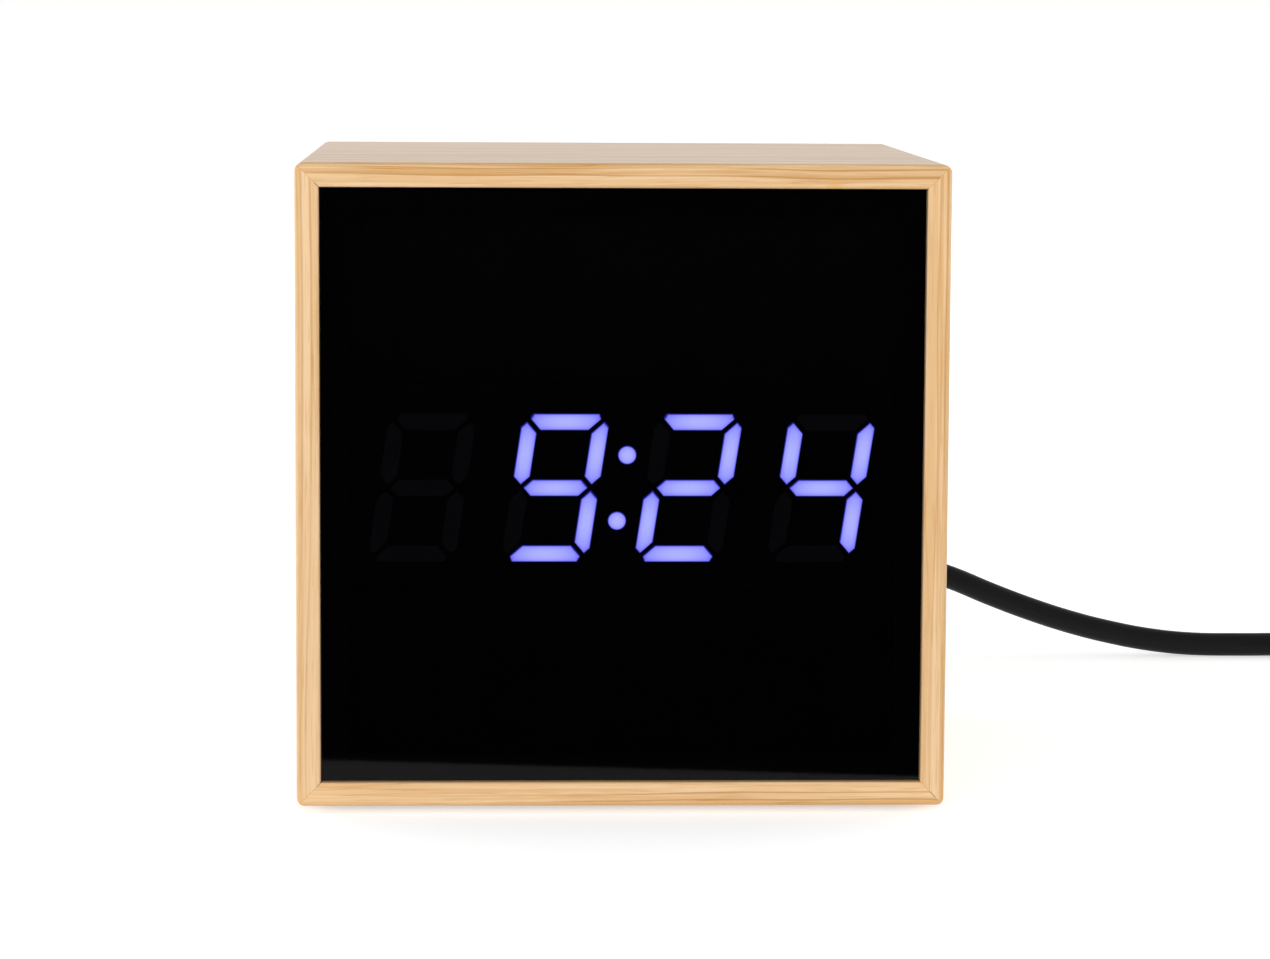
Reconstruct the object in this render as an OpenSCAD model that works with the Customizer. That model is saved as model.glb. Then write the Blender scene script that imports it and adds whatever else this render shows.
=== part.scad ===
// Cube alarm clock: a mitred bamboo case with a smoked front, lit digits, a rear panel of controls
// and a power lead. Millimetres, +Z up, the front faces -Y, the origin is the middle of the base.

/* [Case] */
// Width of the case, side to side
case_w = 100; // [90:1:140]
// Height of the case without its feet
case_h = 99; // [96:1:140]
// Depth of the case, front to back
case_d = 100; // [94:1:150]
// Thickness of the four boards
wall = 3.75; // [3:0.25:5]
// Radius along the four long corners
corner_r = 1.5; // [0.9:0.1:3]
// Radius of the eased outer edges at the front and the back
rim_r = 0.8; // [0.3:0.1:1.5]
// Radius of the eased inner edges at the front and the back
inner_rim_r = 0.4; // [0.1:0.1:0.5]
// Width of the glue line in each mitre
glue_line = 0.1; // [0.05:0.05:0.3]
// Side of the square glue blocks in the corners
block = 9; // [8:0.5:10]
// Diameter of a foot pad
foot_d = 9; // [6:0.5:14]
// Height of a foot pad
foot_h = 1; // [0.5:0.25:4]
// Distance from a foot's middle to the sides of the case
foot_inset = 12; // [9:0.5:20]

/* [Front] */
// How far the lens lies behind the front edge
lens_recess = 1; // [0.5:0.25:4]
// Thickness of the lens
lens_t = 2; // [1.5:0.25:4]
// Gap between the boards and the lens, gasket and display frame
front_gap = 0.15; // [0.05:0.05:0.5]
// Width of the gasket behind the lens's border
gasket_w = 4; // [2:0.5:4]
// Thickness of the gasket
gasket_t = 0.5; // [0.3:0.1:1.5]
// Thickness of the display frame's plate
frame_t = 2; // [1.6:0.2:4]
// Thickness of the lip round the display frame's window
lip_t = 1.2; // [0.8:0.2:2]
// Depth of that lip behind the plate
lip_d = 3; // [1:0.5:5]

/* [Digits] */
// Hour that is lit
shown_hour = 9; // [1:1:12]
// Minute that is lit
shown_minute = 24; // [0:1:59]
// Height of a digit
digit_h = 22.9; // [18:0.1:30]
// Width of a digit before it is slanted
digit_w = 13.45; // [11:0.05:15]
// Width of a segment
stroke = 2.55; // [1.8:0.05:3]
// Gap between two segments
seg_gap = 0.72; // [0.4:0.02:1.2]
// Depth of the bevel on a segment's outer tips
tip = 0.8; // [0.4:0.05:1]
// Slant of the digits in degrees
slant = 8.6; // [0:0.1:11]
// Diameter of a colon dot
dot_d = 2.87; // [1.5:0.01:4]
// Distance between the colon dots
dot_spacing = 10.17; // [6:0.01:14]
// How far the display lies below the middle of the case
display_drop = 0.4; // [0:0.1:5]
// Depth of the segment shell
shell_d = 8; // [6:0.5:12]
// Shell beyond the digits at each end
shell_end = 3; // [1:0.25:3.5]
// Shell above and below the digits
shell_edge = 4.55; // [2:0.05:8]
// Depth of the clear filling in a segment
fill_d = 3; // [1:0.5:5]
// Gap between a filling and its shell
fill_gap = 0.05; // [0.02:0.01:0.2]

/* [Boards] */
// Thickness of both circuit boards
pcb_t = 1.6; // [1:0.2:2]
// Gap between the display board and the side boards
board_side = 2.1; // [0.5:0.1:4]
// Display board beyond the shell at each end
board_end = 2; // [1:0.25:2.5]
// Display board above and below the shell
board_edge = 8; // [6:0.5:14]
// Diameter of a screw boss
boss_d = 5; // [4:0.25:6]
// Distance from a board's edge to the screws above and below
screw_edge = 3.5; // [2.5:0.25:5]
// Distance from a board's end to the screws beside it
screw_end = 8; // [4:0.5:14]
// Gap between the control board and the glue blocks
control_gap = 1.25; // [0.5:0.25:2]
// Height of the bosses that hold the control board off the cover
standoff = 8.5; // [7:0.25:12]
// Width of the ribbon cable
ribbon_w = 12.7; // [8:0.1:16]
// Thickness of the ribbon cable
ribbon_t = 0.9; // [0.5:0.1:1.5]

/* [Rear panel] */
// How far the cover lies inside the back edge
cover_recess = 2; // [0:0.25:6]
// Thickness of the cover
cover_t = 2.5; // [2.4:0.1:4]
// Gap between the cover and the boards
cover_gap = 0.2; // [0.1:0.05:0.6]
// Number of sound slots
slots = 5; // [3:1:5]
// Width of a sound slot
slot_w = 1.2; // [0.8:0.1:1.5]
// Distance from slot to slot
slot_pitch = 2.4; // [2:0.1:2.8]
// Diameter of the round field of sound slots
slot_field = 12; // [12:0.5:16]
// Diameter of the buzzer
buzzer_d = 12; // [9:0.5:16]
// Gap between the buzzer and the cover
buzzer_gap = 0.8; // [0.3:0.1:3]
// Place of the buzzer to the right of the middle, seen from the front
buzzer_x = 20; // [14:0.5:26]
// Height of the buzzer above the middle
buzzer_z = 4; // [0:0.5:8]

/* [Buttons] */
// Diameter of a button
button_d = 8; // [6:0.25:10]
// Distance from button to button
button_pitch = 16; // [13:0.5:18]
// Height of the buttons above the middle
button_z = 23.5; // [18:0.5:26]
// How far a button stands out of the cover
button_out = 1.5; // [1:0.1:3]
// How far a button can be pressed
button_travel = 0.8; // [0.4:0.1:0.9]
// Gap round a button
button_gap = 0.2; // [0.1:0.05:0.5]
// Side of a switch under a button
switch_w = 6; // [5:0.5:8]
// Height of a switch under a button
switch_h = 3.5; // [3:0.1:4.2]

/* [Alarm switch] */
// Place of the slide switch to the right of the middle
slide_x = -18; // [-24:0.5:-14]
// Height of the slide switch above the middle
slide_z = 6; // [2:0.5:8]
// How far the slide switch moves
slide_travel = 4; // [2:0.5:5]
// Width of the knob
knob_w = 4; // [3:0.25:5]
// Height of the knob
knob_h = 3; // [2:0.25:4]
// Gap round the knob
knob_gap = 0.3; // [0.15:0.05:0.6]

/* [Battery] */
// Diameter of the coin cell
cell_d = 20; // [12:0.5:24]
// Thickness of the coin cell
cell_t = 3.2; // [1.6:0.1:3.2]
// Gap round the coin cell
cell_gap = 0.2; // [0.1:0.05:0.5]
// Wall of the cell holder
holder_wall = 1.8; // [1.2:0.1:2.5]
// Place of the coin cell to the right of the middle
cell_x = -18; // [-20:0.5:-14]
// Height of the coin cell above the middle
cell_z = -20.5; // [-20.5:0.5:-17]
// Rim of the battery cap beyond its hub
cap_rim = 1.7; // [1:0.1:2.5]
// Gap between the battery cap and the cover
cap_gap = 0.2; // [0.1:0.05:0.4]
// Turn that frees the battery cap, in degrees
cap_turn = 60; // [45:5:60]

/* [Power] */
// Place of the socket to the right of the middle
socket_x = 25; // [14:0.5:28]
// Height of the socket above the middle
socket_z = -20.5; // [-26:0.5:-12]
// Side of the socket's housing
socket_w = 9; // [8.5:0.25:12]
// Diameter of the plug's sleeve
sleeve_d = 5.5; // [4:0.1:6.3]
// Bore of the plug's sleeve
sleeve_bore = 2.5; // [1.9:0.1:3]
// Gap between the socket's centre pin and the sleeve's bore
pin_gap = 0.25; // [0.1:0.05:0.5]
// Gap between the sleeve and the socket
sleeve_gap = 0.15; // [0.1:0.05:0.3]
// Diameter of the plug's body
plug_d = 9.5; // [8:0.25:14]
// Length of the plug's body
plug_l = 12; // [9:0.5:20]
// Length of the plug's strain relief
relief_l = 11.5; // [8:0.5:20]

/* [Lead] */
// Diameter of the lead
cord_d = 4.4; // [3:0.1:4.4]
// Distance from turn to turn and from layer to layer in the coil
coil_pitch = 5; // [4.9:0.1:5.4]
// Middle of the outermost turn
coil_r = 31.5; // [30:0.25:34]
// Width of a coil tie
tie_w = 6; // [3:0.5:12]
// Thickness of a coil tie
tie_t = 0.8; // [0.4:0.1:1.5]
// Width of the far plug's body
usb_w = 15.5; // [14:0.5:20]
// Height of the far plug's body
usb_h = 8; // [7:0.25:12]
// Length of the far plug's body
usb_l = 26; // [18:1:40]

/* [Hidden] */
$fn = 48;

// Case
z_mid = foot_h + case_h / 2;
open_w = case_w - 2 * wall;
open_h = case_h - 2 * wall;
lens_w = open_w - 2 * front_gap;
lens_h = open_h - 2 * front_gap;
block_x = open_w / 2 - block / 2;
block_z = open_h / 2 - block / 2;

// Planes from the front to the back
y_front = -case_d / 2;
y_lens = y_front + lens_recess;
y_gasket = y_lens + lens_t;
y_frame = y_gasket + gasket_t;
y_frame_back = y_frame + frame_t;
y_display = y_frame + shell_d;
y_display_back = y_display + pcb_t;
y_cover = case_d / 2 - cover_recess;
y_cover_in = y_cover - cover_t;
y_control = y_cover_in - standoff;
y_control_front = y_control - pcb_t;

// Display
z_digit = z_mid - display_drop;
lean = tan(slant);
board_w = open_w - 2 * board_side;
shell_w = board_w - 2 * board_end;
shell_h = digit_h + 2 * shell_edge;
board_h = shell_h + 2 * board_edge;
window_gap = 0.2;
display_screw_x = board_w / 2 - screw_end;
display_screw_z = board_h / 2 - screw_edge;
letters = "abcdefg";
lit_letters = [
    "abcdef", "bc", "abdeg", "abcdg", "bcfg", "acdfg", "acdefg", "abc", "abcdefg", "abcdfg", ""
];
blank = 10;
shown = [
    shown_hour > 9 ? 1 : blank,
    shown_hour % 10,
    floor(shown_minute / 10),
    shown_minute % 10
];
last_digit = len(shown) - 1;
digit_pitch = (shell_w - 2 * shell_end - digit_w - digit_h * lean) / last_digit;
chip = [1.6, 0.7, 0.8];
chip_place = [-20, 5];
crystal_place = [-22, -12];
capacitor_place = [28, 8];

// Screws: plain shanks that fill their pilot holes but for this gap
thread_gap = 0.05;
case_screw_d = 2.9;
case_screw_l = 12;
case_head_d = 5.6;
board_screw_d = 1.9;
board_screw_l = 5;
board_head_d = 3.8;
board_head_h = 1.3;
hole_gap = 0.2;
case_cross = [3, 0.8, 0.9];
board_cross = [2.2, 0.6, 0.6];
pilot_spare = 1;

// Control board and its ribbon
control_w = open_w - 2 * block - 2 * control_gap;
control_h = open_h - 2 * block - 2 * control_gap;
control_inset = 4;
control_screw_x = control_w / 2 - control_inset;
control_screw_z = control_h / 2 - control_inset;
connector_end = 1.65;
connector = [ribbon_w + 2 * connector_end, 7, 5];
connector_step = 8;
ribbon_steps = 24;
ribbon_straight = 5;
ribbon_y0 = y_display_back + connector[1];
ribbon_y1 = y_control_front - connector[1];
ribbon_z0 = z_digit - connector_step;
ribbon_z1 = z_mid + connector_step;

// Buttons, from the switch out
plunger_d = 3.5;
plunger_in = 1;
plunger_out = 1;
plunger_gap = 0.1;
stem_d = 4;
flange_rim = 1.2;
flange_t = 1;
edge_r = 0.6;
mark_d = 0.3;
mark_w = 3;
mark_line = 0.7;
y_switch = y_control + switch_h;
y_plunger = y_switch + plunger_out;
y_flange = y_cover_in - button_gap;
button_x = [for (i = [0:3]) (i - 1.5) * button_pitch];

// Alarm switch
slide_end = 2;
slide_wall = 1.5;
slide_body = [slide_travel + knob_w + 2 * slide_end, 5, knob_h + 2 * slide_wall];
slide_depth = 2.5;
knob_out = 1.2;
dust_t = 0.8;
dust_rim = 0.8;
knob_groove = 0.4;

// Battery: the cap's planes from the cover inwards
cap_ledge = 1;
lug_t = 0.8;
lug_out = 1.2;
lug_angle = 34;
lug_angles = [90, 210, 330];
lug_spare = 3;
hub_d = cell_d + 3 * cell_gap;
ledge_bore = hub_d + 2 * cap_gap;
cap_d = hub_d + 2 * cap_rim;
y_lug = y_cover_in - cap_gap;
y_hub = y_lug - lug_t;
contact_h = 1;
contact_t = 0.4;
y_cell = y_hub - cap_gap - cell_t;
y_cell_floor = y_cell - contact_h;
holder_top = y_cell + cell_t - 1;
clip_w = 5;
coin_slot = [13, 2, 0.7];

// Power
socket_floor = 1.5;
pin_d = sleeve_bore - 2 * pin_gap;
socket_bore = sleeve_d + 2 * sleeve_gap;
collar_d = socket_bore + 2;
y_socket = y_control + socket_floor;
sleeve_spare = 0.5;
sleeve_end = 1;
plug_gap = 0.5;
y_plug = y_cover + plug_gap;
y_relief = y_plug + plug_l;
y_lead = y_relief + relief_l;
relief_ribs = 4;
relief_d = cord_d + 1.2;
relief_step = 1;
z_socket = z_mid + socket_z;

// Lead: from the plug down to the table and along it to the coil, then the turns, then the tail
coil_x = 164;
lead_y = 103;
coil_y = lead_y - coil_r;
coil_in = 3.5;
coil_back = 0.5;
coil_out = 3.25;
coil_total = coil_in + coil_back + coil_out;
coil_start = 90;
loop_rings = 24;
coil_sides = 6;
lead_sides = 10;
tie_gap = 0.3;
tie_angles = [160, 280];
coil_z = tie_t + tie_gap + cord_d / 2;
inner_r = coil_r - coil_pitch * coil_in;
coil_least_r = inner_r - coil_pitch / 8;
coil_end_r = inner_r + coil_pitch * coil_out;
coil_top_z = coil_z + coil_pitch;

lead_route = [
    [socket_x, y_lead, z_socket],
    [socket_x, y_lead + cord_d, z_socket],
    [25.2, 81, 29.9],
    [26.5, 87, 29],
    [30, 93.5, 27.5],
    [35.5, 98.5, 25.5],
    [42.5, 102, 23.4],
    [50.5, 103.6, 20.8],
    [59.5, 104, 17.9],
    [68.5, 104, 15],
    [76.5, 104, 11.7],
    [84.5, 104, 8.7],
    [92, 104, 6.3],
    [99.5, 104, 4.4],
    [107.5, 104, 2.9],
    [115.5, 103.4, 2.2],
    [123.5, 102.6, 2.2],
    [131, 102.8, 2.2],
    [138.5, lead_y, 2.3],
    [146, lead_y, 2.8],
    [153, lead_y, coil_z],
    [coil_x - cord_d, lead_y, coil_z]
];

// Offsets from the end of the coil to the far plug
tail_steps = [
    [0, 0, 0],
    [0, -4, 0],
    [0, -10, -0.6],
    [0, -17, -2],
    [0, -24, -3.5],
    [0, -31, -4.2]
];
tail_l = 39;
usb_z = usb_h / 2;
coil_end = [coil_x + coil_end_r, coil_y - cord_d, coil_top_z];
tail_end = [coil_end[0], coil_end[1] - tail_l, usb_z];
tail_route = concat(
    [for (s = tail_steps) coil_end + s],
    [tail_end + [0, cord_d, 0], tail_end]
);

usb_r = 2;
usb_relief_l = 10;
usb_relief_ribs = 3;
usb_shell = [12, 12, 4.5];
usb_shell_t = 0.4;
usb_window = 2.2;
usb_window_x = 3;
usb_window_y = 6.5;
usb_tongue_size = [10.4, 10, 1.8];
y_usb = tail_end[1] - usb_relief_l;
y_usb_front = y_usb - usb_l;

bamboo = [0.90, 0.74, 0.55];
bamboo_dark = [0.80, 0.63, 0.43];
black_plastic = [0.06, 0.06, 0.07];
grey_plastic = [0.20, 0.20, 0.22];
board_green = [0.05, 0.30, 0.16];
steel = [0.72, 0.72, 0.74];
lit_blue = [0.66, 0.66, 1.0];

// Extrudes an X-Z outline from one Y to another
module along_y(y0, y1) {
    translate([0, y1, 0]) rotate([90, 0, 0]) linear_extrude(y1 - y0) children();
}

// Extrudes a Y-Z outline from one X to another
module along_x(x0, x1) {
    translate([x0, 0, 0]) rotate([90, 0, 90]) linear_extrude(x1 - x0) children();
}

// Places a piece made along +Z so that it points to the back, or to the front with side -1
module facing(x, y, z, side = 1) {
    translate([x, y, z]) rotate([-90 * side, 0, 0]) children();
}

module rounded(w, h, r) {
    square([w - 2 * r, h], center = true);
    square([w, h - 2 * r], center = true);
    for (sx = [-1, 1], sz = [-1, 1]) {
        translate([sx * (w / 2 - r), sz * (h / 2 - r)]) circle(r);
    }
}

// A bar with round ends
module stadium(length, w) {
    square([length - w, w], center = true);
    for (s = [-1, 1]) translate([s * (length - w) / 2, 0]) circle(d = w);
}

module four(x, z) {
    for (sx = [-1, 1], sz = [-1, 1]) translate([sx * x, 0, sz * z]) children();
}

// Profile of a board across its thickness, from its inner face at 0, with its edges eased
module board_profile() {
    half = case_d / 2;
    translate([-half, inner_rim_r]) square([case_d, wall - rim_r - inner_rim_r]);
    translate([rim_r - half, inner_rim_r]) square([case_d - 2 * rim_r, wall - inner_rim_r]);
    translate([inner_rim_r - half, 0]) square([case_d - 2 * inner_rim_r, wall - rim_r]);
    for (s = [-1, 1]) {
        translate([s * (half - rim_r), wall - rim_r]) circle(rim_r);
        translate([s * (half - inner_rim_r), inner_rim_r]) circle(inner_rim_r);
    }
}

// A board of the given outer length, its inner face distance away from the middle of the case
module board(length, distance) {
    cut = glue_line / sqrt(2);
    inner = length / 2 - wall - cut;
    outer = length / 2 - cut;
    top = distance + wall;
    intersection() {
        along_y(-case_d / 2, case_d / 2) {
            polygon([[-inner, distance], [inner, distance], [outer, top], [-outer, top]]);
        }
        translate([0, 0, distance]) along_x(-length / 2, length / 2) board_profile();
    }
}

module case_outline() {
    translate([0, 0, z_mid]) along_y(-case_d / 2, case_d / 2) rounded(case_w, case_h, corner_r);
}

module top_board() {
    color(bamboo) intersection() {
        case_outline();
        translate([0, 0, z_mid]) board(case_w, open_h / 2);
    }
}

module bottom_board() {
    color(bamboo) intersection() {
        case_outline();
        translate([0, 0, z_mid]) mirror([0, 0, 1]) board(case_w, open_h / 2);
    }
}

module left_board() {
    color(bamboo) intersection() {
        case_outline();
        translate([0, 0, z_mid]) rotate([0, -90, 0]) board(case_h, open_w / 2);
    }
}

module right_board() {
    color(bamboo) intersection() {
        case_outline();
        translate([0, 0, z_mid]) rotate([0, 90, 0]) board(case_h, open_w / 2);
    }
}

module corner_blocks() {
    pilot = case_screw_d + 2 * thread_gap;
    depth = case_screw_l + pilot_spare;
    color(bamboo_dark) translate([0, 0, z_mid]) four(block_x, block_z) difference() {
        along_y(y_frame_back, y_cover_in) square(block, center = true);
        facing(0, y_frame_back, 0) cylinder(d = pilot, h = depth);
        facing(0, y_cover_in, 0, -1) cylinder(d = pilot, h = depth);
    }
}

module foot_pads() {
    color(grey_plastic) for (sx = [-1, 1], sy = [-1, 1]) {
        translate([sx * (case_w / 2 - foot_inset), sy * (case_d / 2 - foot_inset), 0]) {
            cylinder(d = foot_d, h = foot_h);
        }
    }
}

module front_lens() {
    color([0.03, 0.03, 0.04, 0.85]) translate([0, 0, z_mid]) along_y(y_lens, y_gasket) {
        square([lens_w, lens_h], center = true);
    }
}

module lens_gasket() {
    color(black_plastic) translate([0, 0, z_mid]) along_y(y_gasket, y_frame) difference() {
        square([lens_w, lens_h], center = true);
        square([lens_w - 2 * gasket_w, lens_h - 2 * gasket_w], center = true);
    }
}

module window(grow) {
    square([shell_w + 2 * grow, shell_h + 2 * grow], center = true);
}

module display_frame() {
    pilot = board_screw_d + 2 * thread_gap;
    color(black_plastic) {
        difference() {
            union() {
                translate([0, 0, z_mid]) along_y(y_frame, y_frame_back) {
                    square([lens_w, lens_h], center = true);
                }
                translate([0, 0, z_digit]) along_y(y_frame, y_frame_back + lip_d) {
                    window(window_gap + lip_t);
                }
                translate([0, 0, z_digit]) four(display_screw_x, display_screw_z) {
                    facing(0, y_frame, 0) cylinder(d = boss_d, h = y_display - y_frame);
                }
            }
            translate([0, 0, z_digit]) along_y(y_frame - 1, y_display) window(window_gap);
            translate([0, 0, z_digit]) four(display_screw_x, display_screw_z) {
                facing(0, y_display, 0, -1) cylinder(d = pilot, h = board_screw_l - pcb_t + pilot_spare);
            }
            translate([0, 0, z_mid]) four(block_x, block_z) case_screw_hole(y_frame, frame_t, -1);
        }
    }
}

// Countersunk screw whose head is flush with z = 0, and the hole that it goes through
module case_screw() {
    cone = (case_head_d - case_screw_d) / 2;
    difference() {
        union() {
            translate([0, 0, -cone]) cylinder(d1 = case_screw_d, d2 = case_head_d, h = cone);
            translate([0, 0, -case_screw_l]) cylinder(d = case_screw_d, h = case_screw_l - cone);
        }
        cross_recess(0, case_cross);
    }
}

module case_screw_hole(y, plate, side) {
    cone = (case_head_d - case_screw_d) / 2;
    facing(0, y, 0, side) {
        translate([0, 0, -cone]) {
            cylinder(d1 = case_screw_d + 2 * hole_gap, d2 = case_head_d + 2 * hole_gap, h = cone);
        }
        translate([0, 0, -plate - 1]) cylinder(d = case_screw_d + 2 * hole_gap, h = plate + 1);
    }
}

// Pan-head screw whose head sits on z = 0
module board_screw() {
    difference() {
        union() {
            translate([0, 0, -board_screw_l]) cylinder(d = board_screw_d, h = board_screw_l);
            rotate_extrude() {
                square([board_head_d / 2 - board_head_h / 2, board_head_h]);
                square([board_head_d / 2, board_head_h / 2]);
                translate([board_head_d / 2 - board_head_h / 2, board_head_h / 2]) circle(board_head_h / 2);
            }
        }
        cross_recess(board_head_h, board_cross);
    }
}

// Cross of a given length, width and depth in the top of a head
module cross_recess(top, size) {
    for (a = [0, 90]) rotate(a) translate([-size[0] / 2, -size[1] / 2, top - size[2]]) {
        cube([size[0], size[1], size[2] + 1]);
    }
}

module frame_screws() {
    color(steel) translate([0, 0, z_mid]) four(block_x, block_z) facing(0, y_frame, 0, -1) case_screw();
}

// Corner points of one segment, and the middle of it, before the slant
function flip(points, su, sv) = [for (p = points) [su * p[0], sv * p[1]]];

function across_points() = let (u = digit_w / 2 - seg_gap / sqrt(2), v = digit_h / 2) [
    [-u + 1.5 * tip, v], [-u + tip, v - tip], [-u + stroke, v - stroke],
    [u - stroke, v - stroke], [u - tip, v - tip], [u - 1.5 * tip, v]
];

function upright_points() = let (u = digit_w / 2, gap = seg_gap / sqrt(2), v = digit_h / 2 - gap) [
    [-u, v - 2 * tip], [-u + tip, v - tip], [-u + stroke, v - stroke],
    [-u + stroke, gap + stroke / 2], [-u + stroke / 2, gap], [-u, gap + stroke / 2]
];

function middle_points() = let (u = digit_w / 2 - stroke / 2 - seg_gap / sqrt(2), s = stroke / 2) [
    [-u, 0], [-u + s, s], [u - s, s], [u, 0], [u - s, -s], [-u + s, -s]
];

function raw_points(letter) =
    letter == "a" ? across_points() :
    letter == "b" ? flip(upright_points(), -1, 1) :
    letter == "c" ? flip(upright_points(), -1, -1) :
    letter == "d" ? flip(across_points(), 1, -1) :
    letter == "e" ? flip(upright_points(), 1, -1) :
    letter == "f" ? upright_points() : middle_points();

function segment_middle(letter) = let (u = digit_w / 2 - stroke / 2, v = digit_h / 2 - stroke / 2)
    letter == "a" ? [0, v] :
    letter == "b" ? [u, digit_h / 4] :
    letter == "c" ? [u, -digit_h / 4] :
    letter == "d" ? [0, -v] :
    letter == "e" ? [-u, -digit_h / 4] :
    letter == "f" ? [-u, digit_h / 4] : [0, 0];

function slanted(p) = [p[0] + p[1] * lean, p[1]];

function digit_x(i) = (i - last_digit / 2) * digit_pitch;

function dot_place(s) = slanted([0, s * dot_spacing / 2]);

// One segment of digit i, widened by grow on each side
module segment(i, letter, grow = 0) {
    middle = segment_middle(letter);
    size = 1 + 2 * grow / stroke;
    translate([digit_x(i), 0]) {
        polygon([for (p = raw_points(letter)) slanted(middle + size * (p - middle))]);
    }
}

module segments(lit) {
    translate([0, 0, z_digit]) for (i = [0:last_digit], letter = letters) {
        if ((len(search(letter, lit_letters[shown[i]])) > 0) == lit) {
            along_y(y_frame, y_frame + fill_d) segment(i, letter);
        }
    }
}

module display_shell() {
    color([0.16, 0.16, 0.17]) translate([0, 0, z_digit]) along_y(y_frame, y_display) difference() {
        window(0);
        for (i = [0:last_digit], letter = letters) segment(i, letter, fill_gap);
        for (s = [-1, 1]) translate(dot_place(s)) circle(d = dot_d + 2 * fill_gap);
    }
}

module lit_segments() {
    color(lit_blue) segments(true);
}

module unlit_segments() {
    color([0.22, 0.22, 0.24]) segments(false);
}

module colon_dots() {
    color(lit_blue) translate([0, 0, z_digit]) along_y(y_frame, y_frame + fill_d) {
        for (s = [-1, 1]) translate(dot_place(s)) circle(d = dot_d);
    }
}

module led_chip(p) {
    translate([p[0], y_display - chip[1] / 2, z_digit + p[1]]) cube(chip, center = true);
}

module led_chips() {
    color([0.85, 0.82, 0.55]) {
        for (i = [0:last_digit], letter = letters) {
            led_chip(slanted(segment_middle(letter)) + [digit_x(i), 0]);
        }
        for (s = [-1, 1]) led_chip(dot_place(s));
    }
}

module board_holes(x, z) {
    for (sx = [-1, 1], sz = [-1, 1]) {
        translate([sx * x, sz * z]) circle(d = board_screw_d + 2 * hole_gap);
    }
}

module display_board() {
    color(board_green) translate([0, 0, z_digit]) along_y(y_display, y_display_back) difference() {
        square([board_w, board_h], center = true);
        board_holes(display_screw_x, display_screw_z);
    }
}

module display_screws() {
    color(steel) translate([0, 0, z_digit]) four(display_screw_x, display_screw_z) {
        facing(0, y_display_back, 0) board_screw();
    }
}

// Wide chip with its legs, standing on z = 0
module clock_chip() {
    body = [18, 7.5, 2.1];
    lift = 0.2;
    leg = [0.45, 1.4, 0.3];
    leg_h = 1.2;
    legs = 12;
    leg_pitch = 1.4;
    color([0.10, 0.10, 0.11]) facing(chip_place[0], y_display_back, z_digit + chip_place[1]) {
        translate([-body[0] / 2, -body[1] / 2, lift]) cube(body);
        for (i = [0:legs - 1], s = [-1, 1]) {
            translate([(i - (legs - 1) / 2) * leg_pitch, s * (body[1] / 2 + leg[1] / 2), 0]) {
                translate([0, 0, leg[2] / 2]) cube(leg, center = true);
                translate([0, -s * leg[1] / 2, leg_h / 2]) cube([leg[0], leg[2], leg_h], center = true);
            }
        }
    }
}

module quartz_crystal() {
    can = [11, 4.6, 3.6];
    base = 0.5;
    brim = 0.3;
    color(steel) facing(crystal_place[0], y_display_back, z_digit + crystal_place[1]) {
        linear_extrude(base) stadium(can[0] + 2 * brim, can[1] + 2 * brim);
        linear_extrude(can[2]) stadium(can[0], can[1]);
    }
}

module smoothing_capacitor() {
    d = 6.3;
    h = 9;
    groove = 0.4;
    groove_h = 1.4;
    color([0.12, 0.14, 0.30]) facing(capacitor_place[0], y_display_back, z_digit + capacitor_place[1]) {
        rotate_extrude() difference() {
            square([d / 2, h]);
            translate([d / 2, groove_h]) circle(groove);
        }
    }
}

// Ribbon connector with a slot in its mouth, standing on z = 0
module connector_body() {
    difference() {
        linear_extrude(connector[1]) square([connector[0], connector[2]], center = true);
        translate([0, 0, connector[1] - ribbon_straight + hole_gap]) linear_extrude(ribbon_straight) {
            square([ribbon_w + 2 * hole_gap, ribbon_t + 2 * hole_gap], center = true);
        }
    }
}

module display_connector() {
    color([0.85, 0.83, 0.76]) facing(0, y_display_back, z_digit - connector_step) connector_body();
}

module control_connector() {
    color([0.85, 0.83, 0.76]) facing(0, y_control_front, z_mid + connector_step, -1) connector_body();
}

// The ribbon's middle line from one connector to the other, and half its thickness across that line
function ribbon_point(t) = [
    ribbon_y0 + (ribbon_y1 - ribbon_y0) * t,
    ribbon_z0 + (ribbon_z1 - ribbon_z0) * (1 - cos(180 * t)) / 2
];
function ribbon_side(t) = let (
    dy = ribbon_y1 - ribbon_y0,
    dz = (ribbon_z1 - ribbon_z0) * PI / 2 * sin(180 * t)
) [-dz, dy] / norm([dy, dz]) * ribbon_t / 2;

module ribbon_cable() {
    ts = [for (i = [0:ribbon_steps]) i / ribbon_steps];
    into = [ribbon_straight - 2 * hole_gap, 0];
    upper = [for (t = ts) ribbon_point(t) + ribbon_side(t)];
    lower = [for (t = ts) ribbon_point(1 - t) - ribbon_side(1 - t)];
    color([0.55, 0.56, 0.58]) along_x(-ribbon_w / 2, ribbon_w / 2) polygon(concat(
        [upper[0] - into], upper, [upper[ribbon_steps] + into],
        [lower[0] + into], lower, [lower[ribbon_steps] - into]
    ));
}

module control_board() {
    color(board_green) translate([0, 0, z_mid]) along_y(y_control_front, y_control) difference() {
        square([control_w, control_h], center = true);
        board_holes(control_screw_x, control_screw_z);
    }
}

module control_screws() {
    color(steel) translate([0, 0, z_mid]) four(control_screw_x, control_screw_z) {
        facing(0, y_control_front, 0, -1) board_screw();
    }
}

module switch_bodies() {
    color([0.16, 0.16, 0.17]) for (x = button_x) facing(x, y_control, z_mid + button_z) difference() {
        linear_extrude(switch_h) square(switch_w, center = true);
        translate([0, 0, switch_h - plunger_in - button_travel - button_gap]) {
            cylinder(d = plunger_d + 2 * plunger_gap, h = switch_h);
        }
    }
}

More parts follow.
